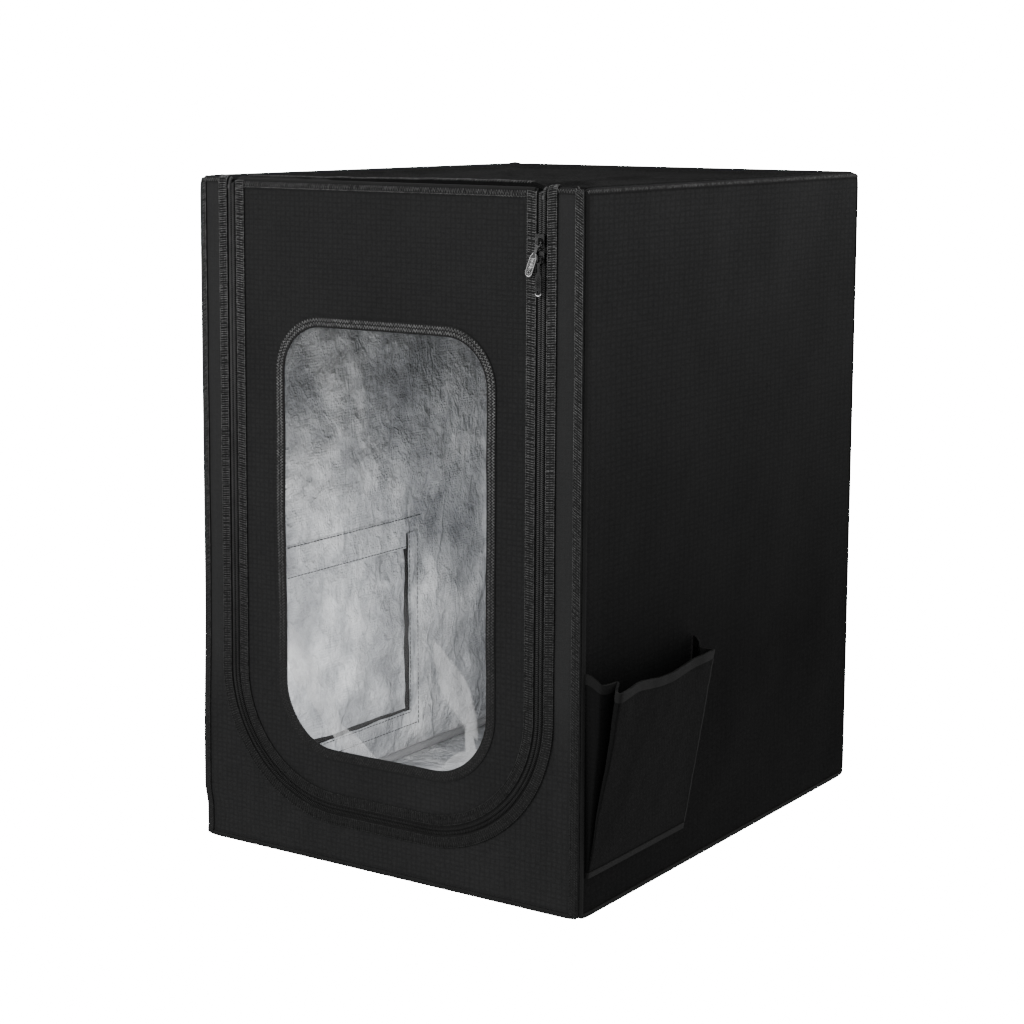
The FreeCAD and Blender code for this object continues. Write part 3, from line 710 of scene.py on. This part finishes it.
# The zip's tape and its overlock band are painted lighter towards the bottom of the U: painted light.
ZIP_TAPE = tape("zipper_tape_black", 0.020, 0.0016, fade=(0.10, 0.36, 1.0, 0.5))
BAND = tape("overlock_band", 0.018, 0.0016, fade=(0.10, 0.36, 1.0, 0.8))
# The charcoal and grey threads are painted darker towards the floor: painted shade.
THREAD = yarn("thread_charcoal", 0.118, fade=FLOOR_SHADE)
THREAD_PALE = yarn("thread_grey", 0.23, fade=(0.20, 0.50, 0.14, 1.0))
THREAD_DARK = yarn("thread_black", 0.012)
# The coil is painted darker towards the floor: painted shade.
COIL = plastic("zipper_coil_nylon", 0.095, 0.55, fade=(0.12, 0.55, 0.25, 1.0), shine=0.2)
FOIL = foil("foil_lining_silver")
METAL = metal("slider_metal", 0.055, 0.30)
RIM = metal("pull_rim_bright", 0.75, 0.22, 0.2)
METAL_MID = metal("pull_face_metal", 0.12, 0.40)
METAL_DARK = metal("pull_metal_black", 0.045, 0.38)
# The frame's pale coated tubes are given a dark grey, so the one seen through the window is as dark as it
# is in the tent's shade: painted shade.
TUBE_SHADED = plastic("tube_coating_shaded", 0.13, 0.36, 0.02)
JOINT = plastic("connector_plastic_black", 0.03, 0.45)
HOOK = tape("hook_and_loop_black", 0.012, 0.0018, 0.85)

# The cover's walls
STEP = 6.0
WALL_EDGE, WALL_LOW, FLOOR_EDGE = 0.6, 0.3, 1.0
PORT_BORDER, SEAM, FRONT_SHARE = 20, 0.012, 0.302


def rect(u0, u1, v0, v1):
    return np.array([(u0, v0), (u1, v0), (u1, v1), (u0, v1)], float)


def wall_rect(half):
    return rect(WALL_EDGE - half, half - WALL_EDGE, WALL_LOW, TOP)


def inner_box(node, axis, border):
    """(low u, high u, low z, high z) of a node without its border, where u is x or y."""
    low, high = mm_box(node)
    return low[axis] + border, high[axis] - border, low[2] + border, high[2] - border


def zip_path(reach, end, step=2.5):
    """The zip's U, a set distance outside its line, from the left top to the right top."""
    r = ZIP_R + reach
    left_x, right_x = ZIP_LEFT - reach, ZIP_RIGHT + reach
    bend = ZIP_LOW + ZIP_R
    a = arc((ZIP_LEFT + ZIP_R, bend), r, 180, 270, step)
    b = arc((ZIP_RIGHT - ZIP_R, bend), r, 270, 360, step)
    return np.concatenate([line((left_x, end), (left_x, bend), step)[:-1], a,
                           line(a[-1], b[0], step)[1:-1], b,
                           line((right_x, bend), (right_x, end), step)[1:]])


face = wall_rect(HALF_W)
outline = np.concatenate([face[:3], zip_path(6, TOP, 6.0)[::-1], face[3:]])
cover_front, span, _ = cloth("cover_front", outline, [], STEP, front, [CLOTH_FRONT, FOIL])
finish_piece(cover_front, ROOT, "cover_fabric", "front_surround")
span = span[0] + 2 * SEAM, span[1] + SEAM

u0, u1, v0, v1 = inner_box("port_border", 1, PORT_BORDER)
roof_rect = rect(WALL_EDGE - HALF_W, HALF_W - WALL_EDGE, WALL_EDGE - HALF_D, HALF_D - WALL_EDGE)
floor_rect = rect(FLOOR_EDGE - HALF_W, HALF_W - FLOOR_EDGE, FLOOR_EDGE - HALF_D, HALF_D - FLOOR_EDGE)
for side, place, outline, holes, step, material, flip, tubes in (
        ("left", left, wall_rect(HALF_D), [rect(u0, u1, v0, v1)], STEP, CLOTH_SIDE_HEIGHT_SHADED, True,
         ["tube_depth_left_low", "tube_depth_left_high"]),
        ("right", right, wall_rect(HALF_D), [], STEP, CLOTH_SIDE_HEIGHT_SHADED, False,
         ["tube_depth_right_low", "tube_depth_right_high"]),
        ("rear", rear, face, [], STEP, CLOTH_SIDE_HEIGHT_SHADED, True,
         ["tube_width_rear_low", "tube_width_rear_high"]),
        ("roof", roof, roof_rect, [], STEP, CLOTH_TOP_SHADED, False,
         ["tube_width_front_high", "tube_width_rear_high"]),
        ("floor", floor_face, floor_rect, [], STEP * 1.6, CLOTH_SIDE_HEIGHT_SHADED, True, [])):
    wall, span, area = cloth(f"cover_{side}", outline, holes, step, place, [material, FOIL],
                             flip=flip)
    finish_piece(wall, ROOT, "cover_fabric", f"{side}_panel")
    area if holes else None
    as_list(tubes)

# The door and its window
WIN_TAPE, WIN_LOW_R, WIN_HIGH_R = 10.5, 65.0, 50.0
FOLD_OVER = 4.0
HINGE_A, HINGE_B = (0, -HALF_D / 1000, 0.7203), (0, -HALF_D / 1000, 0.7165)
# painted reflections on the window film
GLINTS = [((90, 212), (0.50, -0.87), 58, 17), ((110, 152), (0.20, -0.98), 34, 7),
          ((96, 140), (0.9, 0.42), 26, 9), ((-96, 205), (0.60, -0.80), 88, 13),
          ((-80, 168), (0.66, -0.75), 82, 9), ((-40, 137), (0.88, -0.47), 55, 10),
          ((-118, 205), (0.35, -0.94), 40, 6)]
win = inner_box("window_binding", 0, WIN_TAPE)


def window_loop(grow, step=3.0):
    """The window's rounded outline, grown outwards, anticlockwise."""
    x0, x1, z0, z1 = win[0] - grow, win[1] + grow, win[2] - grow, win[3] + grow
    lo, hi = WIN_LOW_R + grow, WIN_HIGH_R + grow
    corners = [arc((x1 - lo, z0 + lo), lo, 270, 360, step), arc((x1 - hi, z1 - hi), hi, 0, 90, step),
               arc((x0 + hi, z1 - hi), hi, 90, 180, step), arc((x0 + lo, z0 + lo), lo, 180, 270, step)]
    return dense(np.concatenate(corners), step)


door_o, span, area = cloth("door_cloth", zip_path(-6, TOP + FOLD_OVER, 6.0), [window_loop(0, 4.0)],
                           STEP * 0.8, front, [CLOTH_DOOR, FOIL], lift=0.2)
finish_bent(door_o, "cover_fabric", "door_panel", DOOR, HINGE_A, HINGE_B)

FILM = clear_film("window_film_clear", GLINTS)
film_o, span, area = cloth("window_pane", window_loop(8, 5.0), [], 7.0,
                           lambda uv, out: front(uv, out - 1.5), [FILM, FILM], thickness=0.3)
finish_piece(film_o, DOOR, "window_film", "window_film")

loop = window_loop(0, 2.5)
strip("window_tape", loop, band_profile(-0.6, WIN_TAPE, 0.2, 1.3), front, TAPE_BLACK, DOOR,
      "binding_tape", ["window_binding"], True)


def zigzag(name, body, place, path, inner, outer, pitch, height, material=THREAD, closed=False,
           side=1.0, radius=0.36, lean=0.5):
    """Zigzag stitches between two lines beside a path."""
    at, way, normal = samples(path, pitch, closed, side=side)
    a = at + normal * inner - way * pitch * lean * 0.5
    b = at + normal * outer + way * pitch * lean * 0.5
    c = at + normal * inner + way * pitch * (1 - lean * 0.5)
    finish_piece(threads(name, np.concatenate([a, b]), np.concatenate([b, c]), height, radius, place,
                         material, 0.12, 3), body, "binding_tape")


def ladder(name, body, place, path, inner, outer, pitch, height, side, radius, seed, slant=0.25):
    """Overlock stitching: close bars across a strip, with a looper thread along each edge."""
    at, way, normal = samples(path, pitch, side=side)
    shift = way * (np.random.default_rng(seed).normal(0, 0.12, len(at)) * pitch)[:, None]
    skew = way * pitch * slant
    a = at + normal * inner + shift - skew
    m = at + normal * ((inner + outer) / 2) + shift
    b = at + normal * outer + shift + skew
    finish_piece(threads(name, np.concatenate([a, m]), np.concatenate([m, b]), height, radius, place,
                         THREAD, 0.22), body, "binding_tape")
    for tag, d in (("in", inner), ("out", outer)):
        starts = at + normal * d - way * pitch * 0.45
        ends = at + normal * d + way * pitch * 0.5 + normal * 0.35
        finish_piece(threads(f"{name}_loop_{tag}", starts, ends, height, radius * 1.15, place, THREAD,
                             0.3), body, "binding_tape")


zigzag("window_zigzag_inner", DOOR, front, loop, 1.4, 5.2, 3.2, 1.2, THREAD_PALE, True)
zigzag("window_zigzag_outer", DOOR, front, loop, 5.8, 9.4, 3.2, 1.2, THREAD_PALE, True)

# The zip: a positive side runs away from the door. The cover's tape laps the centre line by a
# hair, so that no light leaks between the two halves.
for name, body, side, inner, proud, tape_end, coil_end, start in (
        ("cover", ROOT, 1, -0.05, 0.35, 723.0, 722, 0.2),
        ("door", DOOR, -1, 0.0, 0.6, 716.0, 715.5, 1.2)):
    path = zip_path(0, tape_end)
    strip(f"zip_tape_{name}", path, [(inner, -0.5), (inner, 0.1), (17, proud), (17, -0.5)], front,
          ZIP_TAPE, body, "zipper_tape", [f"{name}_zipper_tape"], side=side)
    strip(f"overlock_band_{name}", path, band_profile(5.5, 17.0, 0.1, 1.4), front, BAND, body,
          "binding_tape", side=side)
    ladder(f"overlock_{name}", body, front, path, 6.4, 16.2, 2.45, 1.3, side, 0.5, 5 + side)
    # half of the chain: slanted nylon loops that mesh with the other half's
    path = zip_path(0, coil_end)
    at, way, normal = samples(path, 2.0, start=start, side=side)
    chain = threads(f"coil_{name}", at + normal * 3.9 - way * 0.9, at + normal * 0.3 + way * 0.9,
                    0.8, 0.72, front, COIL, 0.6, 5, 6)
    finish_piece(chain, body, "zipper_coil", f"{name}_zipper_coil")
    strip(f"coil_{name}_cord", path, [(0.05, 0.0), (0.05, 0.5), (4.1, 0.5), (4.1, 0.0)], front,
          ZIP_TAPE, body, "zipper_coil", side=side)

# Bindings along the edges
HEAD_SECTION = [(0, -0.3), (0.2, 1.0), (0.9, 1.5), (1.8, 1.3), (2.6, 0.4), (3.6, 0.3), (6.2, 0.3),
                (7.4, 1.0), (8.8, 1.6), (10.6, 1.5), (11.6, 0.9), (11.8, -0.3)]
head_left, head_right = (corner[0] for corner in mm_box("door_header_binding"))
head_o = ribbon("door_header_tape", line((head_left + 8, 708), (head_right - 8, 708)), HEAD_SECTION,
                front, TAPE_BLACK, side=-1)
finish_bent(head_o, "binding_tape", "door_header_binding", DOOR, HINGE_A, HINGE_B)
zigzag("door_header_stitch", DOOR, front, line((head_left + 10, 709), (head_right - 10, 709)),
       -0.6, 0.6, 3.4, 1.5)
zigzag("door_header_fan", DOOR, front, line((head_left + 12, 713), (head_right - 12, 713)),
       -2.8, 3.4, 3.0, 0.65, radius=0.3, lean=0.8)
zigzag("roof_front_zigzag", ROOT, roof,
       line((ZIP_LEFT + 18, -HALF_D + 8), (ZIP_RIGHT - 18, -HALF_D + 8)), -3.4, 3.4, 3.2, 0.2)

# a stitched tape down each upright edge, and its turn round the corner
INSET = 0.8
for depth, face_place, along in (("front", front, -HALF_D), ("rear", rear, HALF_D)):
    for hand, wall_place, sign in (("left", left, 1), ("right", right, -1)):
        tag, edge = f"{depth}_{hand}", sign * (INSET - HALF_W)
        path = line((edge, 3), (edge, TOP - 1))
        strip(f"corner_tape_{tag}", path, band_profile(-0.8, 10.6, 0.0, 1.2), face_place, TAPE_BLACK,
              ROOT, "binding_tape", [f"corner_binding_{tag}"], side=sign)
        ladder(f"corner_tape_{tag}_stitch", ROOT, face_place, path, 1.2, 9.6, 2.7, 1.1, sign, 0.42,
               9, 0.9)
        edge = along - math.copysign(INSET, along)
        strip(f"corner_wrap_{tag}", line((edge, 3), (edge, TOP - 1)),
              band_profile(-0.8, 5.6, 0.0, 1.0), wall_place, TAPE_BLACK, ROOT, "binding_tape",
              side=-math.copysign(1.0, along))


def edge_band(name, place, start, end, level, side, nodes):
    """A tape with zigzag stitches along a level edge."""
    path = line((start, level), (end, level), 5)
    strip(name, path, band_profile(-0.5, 6.5, 0.0, 1.1), place, TAPE_BLACK, ROOT, "binding_tape",
          nodes, side=side)
    zigzag(f"{name}_zigzag", ROOT, place, path, 1.2, 5.3, 3.0, 1.05, side=side)


END = 3.0
for tag, place, half, nodes in (("left", left, HALF_D, ("roof_binding",)), ("right", right, HALF_D, ()),
                                ("rear", rear, HALF_W, ())):
    edge_band(f"roof_tape_{tag}", place, -half + END, half - END, TOP - INSET, 1.0, nodes)
edge_band("roof_tape_front_left", front, -HALF_W + END, ZIP_LEFT - 18, TOP - INSET, 1.0, ())
edge_band("roof_tape_front_right", front, ZIP_RIGHT + 18, HALF_W - END, TOP - INSET, 1.0, ())
for tag, place, half, nodes in (("left", left, HALF_D, ("floor_binding",)), ("right", right, HALF_D, ()),
                                ("rear", rear, HALF_W, ()), ("front", front, HALF_W, ())):
    edge_band(f"floor_tape_{tag}", place, -half + END, half - END, INSET, -1.0, nodes)

# The pocket: each edge's y at the bottom and at the mouth, and how far the mouth stands out
P_LOW, P_HIGH = (corner[2] for corner in mm_box("pocket_front"))
PF_LOW, PF_HIGH, PR_LOW, PR_HIGH = -289.0, -294.5, -97.0, -77.0
OUT_FRONT, OUT_REAR, RIM_BAND = 37.5, 23.5, 10.0


def pocket_shell(levels, columns):
    """Points of the pocket's cloth: from the wall round the front fold, across and back."""
    rows = []
    for z in levels:
        t = (z - P_LOW) / (P_HIGH - P_LOW)
        lift = max(t, 0.0) ** 0.92
        yf, yr = PF_LOW + (PF_HIGH - PF_LOW) * t, PR_LOW + (PR_HIGH - PR_LOW) * t
        of, orr = OUT_FRONT * lift, OUT_REAR * lift
        knots = np.array([
            (0.3, yf), (0.22 * of + 0.4, yf + 0.3 * t), (0.48 * of + 0.5, yf + 1.0 * t),
            (0.54 * of + 0.6, yf + 10 * t), (0.60 * of + 0.8, yf + 27 * t),
            (0.70 * of + 1.0, yf + 15 * t), (0.84 * of + 1.2, yf + 6 * t),
            (0.97 * of + 1.4, yf + 4 * t), (of + 1.5, yf + 7 * t),
            (0.9 * of + 0.1 * orr + 1.9 + 1.0 * t, yf * 0.9 + yr * 0.1 + 5 * t),
            (0.5 * (of + orr) + 1.6 + 2.6 * math.sin(math.pi * min(t, 1)) - 2.0 * t ** 6,
             0.5 * (yf + yr)),
            (0.12 * of + 0.88 * orr + 1.6, yf * 0.1 + yr * 0.9),
            (orr + 1.5, yr - 1.5), (orr + 1.2, yr), (0.66 * orr + 0.9, yr - 5 * t),
            (0.55 * orr + 0.6, yr - 12 * t), (0.4 * orr + 0.5, yr - 4 * t), (0.3, yr)])
        # the added length keeps short folds from losing all their columns
        run = run_along(knots) + 0.4 * np.arange(len(knots))
        s = np.linspace(0, run[-1], columns)
        x, y = (np.interp(s, run, knots[:, k]) for k in (0, 1))
        rows.append(np.stack([HALF_W + x, y, np.full(columns, z)], 1))
    return np.array(rows)


def grid_shell(name, grid, thickness, material, lift=0.0):
    """A closed skin of a set thickness from a grid of points; its normals point outwards."""
    n = np.cross(np.gradient(grid, axis=1), np.gradient(grid, axis=0))
    n /= np.maximum(np.linalg.norm(n, axis=2), 1e-9)[..., None]
    outer, inner = grid + n * lift, grid + n * (lift - thickness)
    rows, cols = grid.shape[:2]
    count = rows * cols
    idx = np.arange(count).reshape(rows, cols)
    quads = np.stack([idx[:-1, :-1], idx[:-1, 1:], idx[1:, 1:], idx[1:, :-1]], -1).reshape(-1, 4)
    rim = np.concatenate([idx[0, :], idx[1:, -1], idx[-1, -2::-1], idx[-2:0:-1, 0]])
    nxt = np.roll(rim, -1)
    rims = np.stack([nxt, rim, rim + count, nxt + count], 1)
    faces = quads.tolist() + (quads[:, ::-1] + count).tolist() + rims.tolist()
    su = np.concatenate([np.zeros((rows, 1)),
                         np.cumsum(np.linalg.norm(np.diff(grid, axis=1), axis=2), 1)], 1)
    sv = np.concatenate([np.zeros((1, cols)),
                         np.cumsum(np.linalg.norm(np.diff(grid, axis=0), axis=2), 0)], 0)
    uv = np.stack([su, sv], -1).reshape(-1, 2)
    return turn_out(make_mesh(name, np.concatenate([outer.reshape(-1, 3), inner.reshape(-1, 3)]),
                              faces, [material], uv=np.concatenate([uv, uv]), sharp=50))


levels = np.linspace(P_LOW + 1, P_HIGH, 60)
pocket = pocket_shell(levels, 150)
pocket[:, 1:-1] = 0.25 * pocket[:, :-2] + 0.5 * pocket[:, 1:-1] + 0.25 * pocket[:, 2:]
ys, zs = pocket[..., 1], pocket[..., 2]
inner_part = smooth(pocket[..., 0] - HALF_W, 3, 14)
pocket[..., 0] += inner_part * (0.7 * ripple(ys, zs, 90, 51) + 0.15 * ripple(ys, zs, 30, 52))
# the mouth waves: up near the front, down in the middle, and up at both wall corners
rise = smooth(zs, P_LOW + 60, P_HIGH)
share = np.clip((ys - PF_HIGH) / (PR_HIGH - PF_HIGH), 0, 1)
pocket[..., 2] += rise * (3.2 * np.exp(-((share - 0.2) / 0.12) ** 2)
                          - 3.8 * np.exp(-((share - 0.53) / 0.18) ** 2))
proud = (pocket[..., 0] - HALF_W) / np.where(share < 0.5, OUT_FRONT, OUT_REAR)
tip = np.where(share < 0.5, 15.0, 11.0) * smooth(1 - proud, 0.15, 0.95)
pocket[..., 2] += tip * smooth(zs, P_HIGH - 90, P_HIGH)
pocket_o = grid_shell("pocket_cloth", pocket, 1.0, POCKET_CLOTH)
finish_piece(pocket_o, ROOT, "cover_fabric", "pocket_front", "pocket_gusset_front",
             "pocket_gusset_rear")
for name, rows, thickness, lift, node in (
        ("pocket_rim_tape", levels > P_HIGH - RIM_BAND - 1, 2.2, 0.7, "pocket_mouth_binding"),
        ("pocket_hem_tape", levels < P_LOW + RIM_BAND, 1.6, 0.8, "pocket_hem")):
    finish_piece(grid_shell(name, pocket[rows], thickness, TAPE_POCKET, lift), ROOT, "binding_tape",
                 node)
edge_line = pocket[np.arange(len(levels)), (pocket[..., 0] + pocket[..., 1]).argmax(1)]


def pocket_edge(uv, out):
    """Along the pocket's rear outer edge: u is across it, v is z."""
    x, y = (np.interp(uv[:, 1], edge_line[:, 2], edge_line[:, k]) for k in (0, 1))
    return np.stack([x + out, y + uv[:, 0], uv[:, 1]], 1)


# a raised seam down the pocket's rear edge, painted light as a highlight
strip("pocket_edge_piping", line((0, P_LOW + 8), (0, P_HIGH - 11)),
      [(-1.0, -0.5), (-0.8, 0.7), (0, 1.1), (0.8, 0.7), (1.0, -0.5)], pocket_edge, PIPING_HIGHLIGHT, ROOT,
      "binding_tape")

# The cable port and its flap
FLAP_HINGE = (-0.2437, 0, 0.306), (-0.2437, 0, 0.299)


def waver(corners, size, wave, seed):
    """An open path through its corners, moved sideways by a smooth random amount."""
    path = dense(corners, 3, False)
    run = run_along(path)
    return path + beside(tangents(path, False)) * size * ripple(run, 0 * run, wave, seed)[:, None]


strip("port_border_tape", waver([(u0, v1), (u0, v0), (u1, v0), (u1 - 4, v1)], 1.2, 60, 71),
      [(0, -1.2), (0, -2.2), (PORT_BORDER, -2.2), (PORT_BORDER, -1.2)], left, FOIL, ROOT,
      "foil_lining", ["port_border"])


def dashes(name, path, height):
    """A row of single stitches inside the left wall."""
    at, way, _ = samples(path, 6.0)
    finish_piece(threads(name, at, at + way * 4.8, height, 0.55, left, THREAD_DARK, 0.1), ROOT,
                 "binding_tape")


for tag, d in (("inner", 2.0), ("outer", 18.0)):
    dashes(f"port_stitch_{tag}", [(u1 + d - 4, v1 + 3), (u1 + d - 1, v0 - d), (u0 - d, v0 - d),
                                  (u0 - d, v1 + 3)], -2.35)
dashes("port_stitch_top", [(u0 - 17, v1 + 19), (u1 + 18, v1 + 19)], -2.5)
dashes("port_stitch_low", [(u0 - 17, v1 - 16), (u1 - 11, v1 - 16)], -2.9)

(_, flap_y0, flap_z0), (_, flap_y1, flap_z1) = mm_box("port_flap")


def flap_place(uv, out):
    u, v = uv.T
    edge = smooth(np.minimum(u - flap_y0, flap_y1 - u), 0, 30)
    low = smooth(v - flap_z0, 0, 25)
    high = smooth(flap_z1 - v, 0, 20)
    gather = np.sin(u * TAU / 17 + 2.0 * ripple(u, v, 80, 63)) * np.exp(-((v - 262) / 34) ** 2)
    belly = edge * low * high * (1.8 + 1.4 * ripple(u, v, 70, 61) + 0.8 * ripple(u, v, 28, 62)
                                 + 0.9 * gather)
    belly = np.maximum(belly, -0.4) + 0.5 * (1 - edge) * low * high
    return np.stack([-HALF_W - 1.9 - CLOTH - belly - out, u, v], 1)


flap_o, span, area = cloth("port_flap_cloth", rect(flap_y0, flap_y1, flap_z0, flap_z1 + 4), [], 5.0,
                           flap_place, [CLOTH_SIDE_HEIGHT_SHADED, FOIL], thickness=1.2, flip=True)
finish_bent(flap_o, "cover_fabric", "port_flap", FLAP, *FLAP_HINGE)
# A black strip round the flap's edge shows through the port as its dark gap, partly the strip and partly
# painted shade: its inner edge is waved so the gap's width varies as a shadow's would.
around = [(u0 - 1, v1 + 2), (u0 - 1, v0 - 1), (u1 + 1, v0 - 1), (u1 - 3, v1 + 2)]
strip("flap_edge_tape_and_gap_shade", waver(around, 2.0, 80, 72), [(-4.6, -1.1), (-4.6, -1.9), (3, -1.9), (3, -1.1)],
      flap_place, HOOK, FLAP, "binding_tape")
strip("port_top_facing", line((u0 - 18, v1 + 2), (u1 - 9, v1 + 2)),
      [(-19, -1.3), (-19, -1.9), (17, -2.7), (20, -2.7), (20, -1.3)], left, FOIL, ROOT, "foil_lining")
seam_low, seam_high = mm_box("flap_seam")
seam_z = (seam_low[2] + seam_high[2]) / 2
zigzag("flap_seam_zigzag", ROOT, left, line((flap_y0 + 2, seam_z), (flap_y1 - 2, seam_z)), -3, 3, 3.0,
       1.75)

# The slider pulls
PULL_LEVEL, TAB_HALF, TAB_END = -306.75, 3.4, 36.0
HOLE = (0, 32.2)
SHOULDERS = [(3.0, -0.6), (3.2, 0.2), (3.2, 4.2), (2.5, 4.9), (1.5, 5.6), (1.5, 12.6), (2.2, 14.4),
             (3.2, 16.6), (TAB_HALF, 20.0)]
BEAD = [(-0.55, -0.4), (-0.62, 0.1), (-0.45, 0.62), (0, 0.8), (0.35, 0.62), (0.45, 0.1), (0.4, -0.4)]


def pull(tag, height, tilt, face, arc_only):
    """A pull that hangs from its slider: u runs across it, and v down from its pivot."""
    body = f"pull_{tag}"
    c, s = math.cos(math.radians(tilt)), math.sin(math.radians(tilt))

    def place(uv, out):
        u, v = uv.T
        return np.stack([ZIP_RIGHT + u * c - v * s, PULL_LEVEL - out * np.ones(len(u)),
                         height - v * c - u * s], 1)

    end = arc((0, TAB_END - TAB_HALF), TAB_HALF, 0, 180, 0.8)
    outline = np.array(SHOULDERS + end.tolist() + [(-x, y) for x, y in SHOULDERS[::-1]])
    holes = [rect(-2.4, 2.4, 0.6, 4.1), arc(HOLE, 1.25, 0, 330, 0.6)]
    plate, _, _ = cloth(f"{body}_plate", outline, holes, 0.8, place, [face, face], thickness=0.9,
                        flip=True, lift=0.45)
    finish_piece(plate, body, "slider_metal", f"slider_pull_{tag}")
    # Bright metal shows where the upper pull is worn: along its edges, round its hole and on its ridges.
    # The lower pull has it only along its end arc: a painted highlight.
    fitting = face if arc_only else RIM
    rows = np.arange(18.0, 29.0, 1.5)
    starts = np.stack([np.full(len(rows), -2.2), rows + 1.3], 1)
    ends = np.stack([np.full(len(rows), 2.2), rows - 1.3], 1)
    for o in (ribbon(f"{body}_rim", end[1:-1] if arc_only else outline[5:-5], BEAD, place, RIM, side=-1),
              ribbon(f"{body}_ring", arc(HOLE, 1.6, 0, 360, 0.5)[:-1],
                     [(-0.3, 0.3), (-0.2, 0.65), (0.2, 0.65), (0.3, 0.3)], place, fitting, True),
              threads(f"{body}_ridges", starts, ends, 0.45, 0.26, place, fitting, 0.1)):
        finish_piece(o, body, "slider_metal")


pull("upper", 667.5, 20.0, METAL_MID, False)
pull("lower", 651.0, 0.0, METAL_DARK, True)

# Nodes shown as they come from the CAD
FINISHES = (("tube_", TUBE_SHADED, 0), ("upright_", TUBE_SHADED, 0), ("corner_connector", JOINT, 0),
            ("flap_hook_strip", HOOK, 0.2), ("flap_loop_strip", HOOK, 0.2), ("flap_seam", HOOK, 0.2),
            ("slider_body_", METAL, 0.25), ("zipper_top_stops", COIL, 0.25))
for name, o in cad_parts.items():
    for start, material, bevel in FINISHES:
        if name.startswith(start):
            o.data.materials.clear()
            o.data.materials.append(material)
            if bevel:
                m = o.modifiers.new("edge", "BEVEL")
                m.width, m.segments, m.limit_method, m.angle_limit = bevel / 1000, 3, "ANGLE", 0.6
            o.data.polygons.foreach_set("use_smooth", np.ones(len(o.data.polygons), bool))
            o.data.set_sharp_from_angle(angle=math.radians(40))

# Floor, light and camera


def add_object(name, data, place=(0, 0, 0)):
    o = bpy.data.objects.new(name, data)
    bpy.context.scene.collection.objects.link(o)
    o.location = place
    return o


floor_me = bpy.data.meshes.new("studio_floor")
FLOOR_HALF, FLOOR_LEVEL = 9, -0.0006
floor_me.from_pydata([(x * FLOOR_HALF, y * FLOOR_HALF, FLOOR_LEVEL)
                      for x, y in ((-1, -1), (1, -1), (1, 1), (-1, 1))], [], [(0, 1, 2, 3)])
studio = add_object("studio_floor", floor_me)
ground = Paint("studio_floor_white")
floor_me.materials.append(ground.use(Base_Color=(0.93, 0.93, 0.93, 1), Roughness=0.9,
                                     Emission_Color=(1, 1, 1, 1), Emission_Strength=20.0))
studio.visible_diffuse = studio.visible_glossy = False

# the world lights softly, and is white where the camera sees it
world = bpy.data.worlds.new("studio_world")
bpy.context.scene.world = world
world.use_nodes = True
back = world.node_tree.nodes["Background"]
back.inputs["Color"].default_value = (1, 1, 1, 1)
seen = world.node_tree.nodes.new("ShaderNodeLightPath")
level = world.node_tree.nodes.new("ShaderNodeMapRange")
level.inputs["To Min"].default_value, level.inputs["To Max"].default_value = 0.5, 22.0
world.node_tree.links.new(seen.outputs["Is Camera Ray"], level.inputs["Value"])
world.node_tree.links.new(level.outputs["Result"], back.inputs["Strength"])

for name, place, aim, size, power in (("key", (-1.3, -2.6, 1.6), (0, -0.3, 0.5), 1.6, 44),
                                      ("side", (1.3, 0.3, 2.4), (0.24, 0, 0.7), 0.8, 7),
                                      ("top", (-0.6, 0.9, 2.6), (0, 0, 0.7), 1.6, 4)):
    data = bpy.data.lights.new(name, "AREA")
    data.shape, data.size, data.size_y, data.energy = "RECTANGLE", size, size, power
    light = add_object(name, data, place)
    light.rotation_euler = (Vector(aim) - Vector(place)).to_track_quat("-Z", "Y").to_euler()
lamp_data = bpy.data.lights.new("inside", "POINT")
lamp_data.energy, lamp_data.shadow_soft_size = 6.8, 0.03
lamp = add_object("inside", lamp_data, (0.03, -0.13, 0.15))
lamp.visible_camera = lamp.visible_glossy = False

# the camera was fitted to the photograph's corners: its frame is shifted down by 100 of 1024
AZIMUTH, PITCH, ROLL = math.radians(33.508), math.radians(7.929), math.radians(0.323)
FOCAL, SHIFT, SENSOR = 2282.91 / 1024, -100 / 1024, 36
cam_data = bpy.data.cameras.new("camera")
cam_data.sensor_width, cam_data.lens, cam_data.shift_y = SENSOR, FOCAL * SENSOR, SHIFT
cam_data.clip_start, cam_data.clip_end = 0.05, 60
cam = add_object("camera", cam_data)
back_way = Vector((math.sin(AZIMUTH) * math.cos(PITCH), -math.cos(AZIMUTH) * math.cos(PITCH),
                   math.sin(PITCH)))
right_way = Vector((math.cos(AZIMUTH), math.sin(AZIMUTH), 0))
up_way = back_way.cross(right_way)
c, s = math.cos(ROLL), math.sin(ROLL)
right_way, up_way = right_way * c + up_way * s, up_way * c - right_way * s
cam.matrix_world = Matrix.Translation((1.36864, -2.12903, 0.80573)) @ Matrix(
    (right_way, up_way, back_way)).transposed().to_4x4()
bpy.context.scene.camera = cam
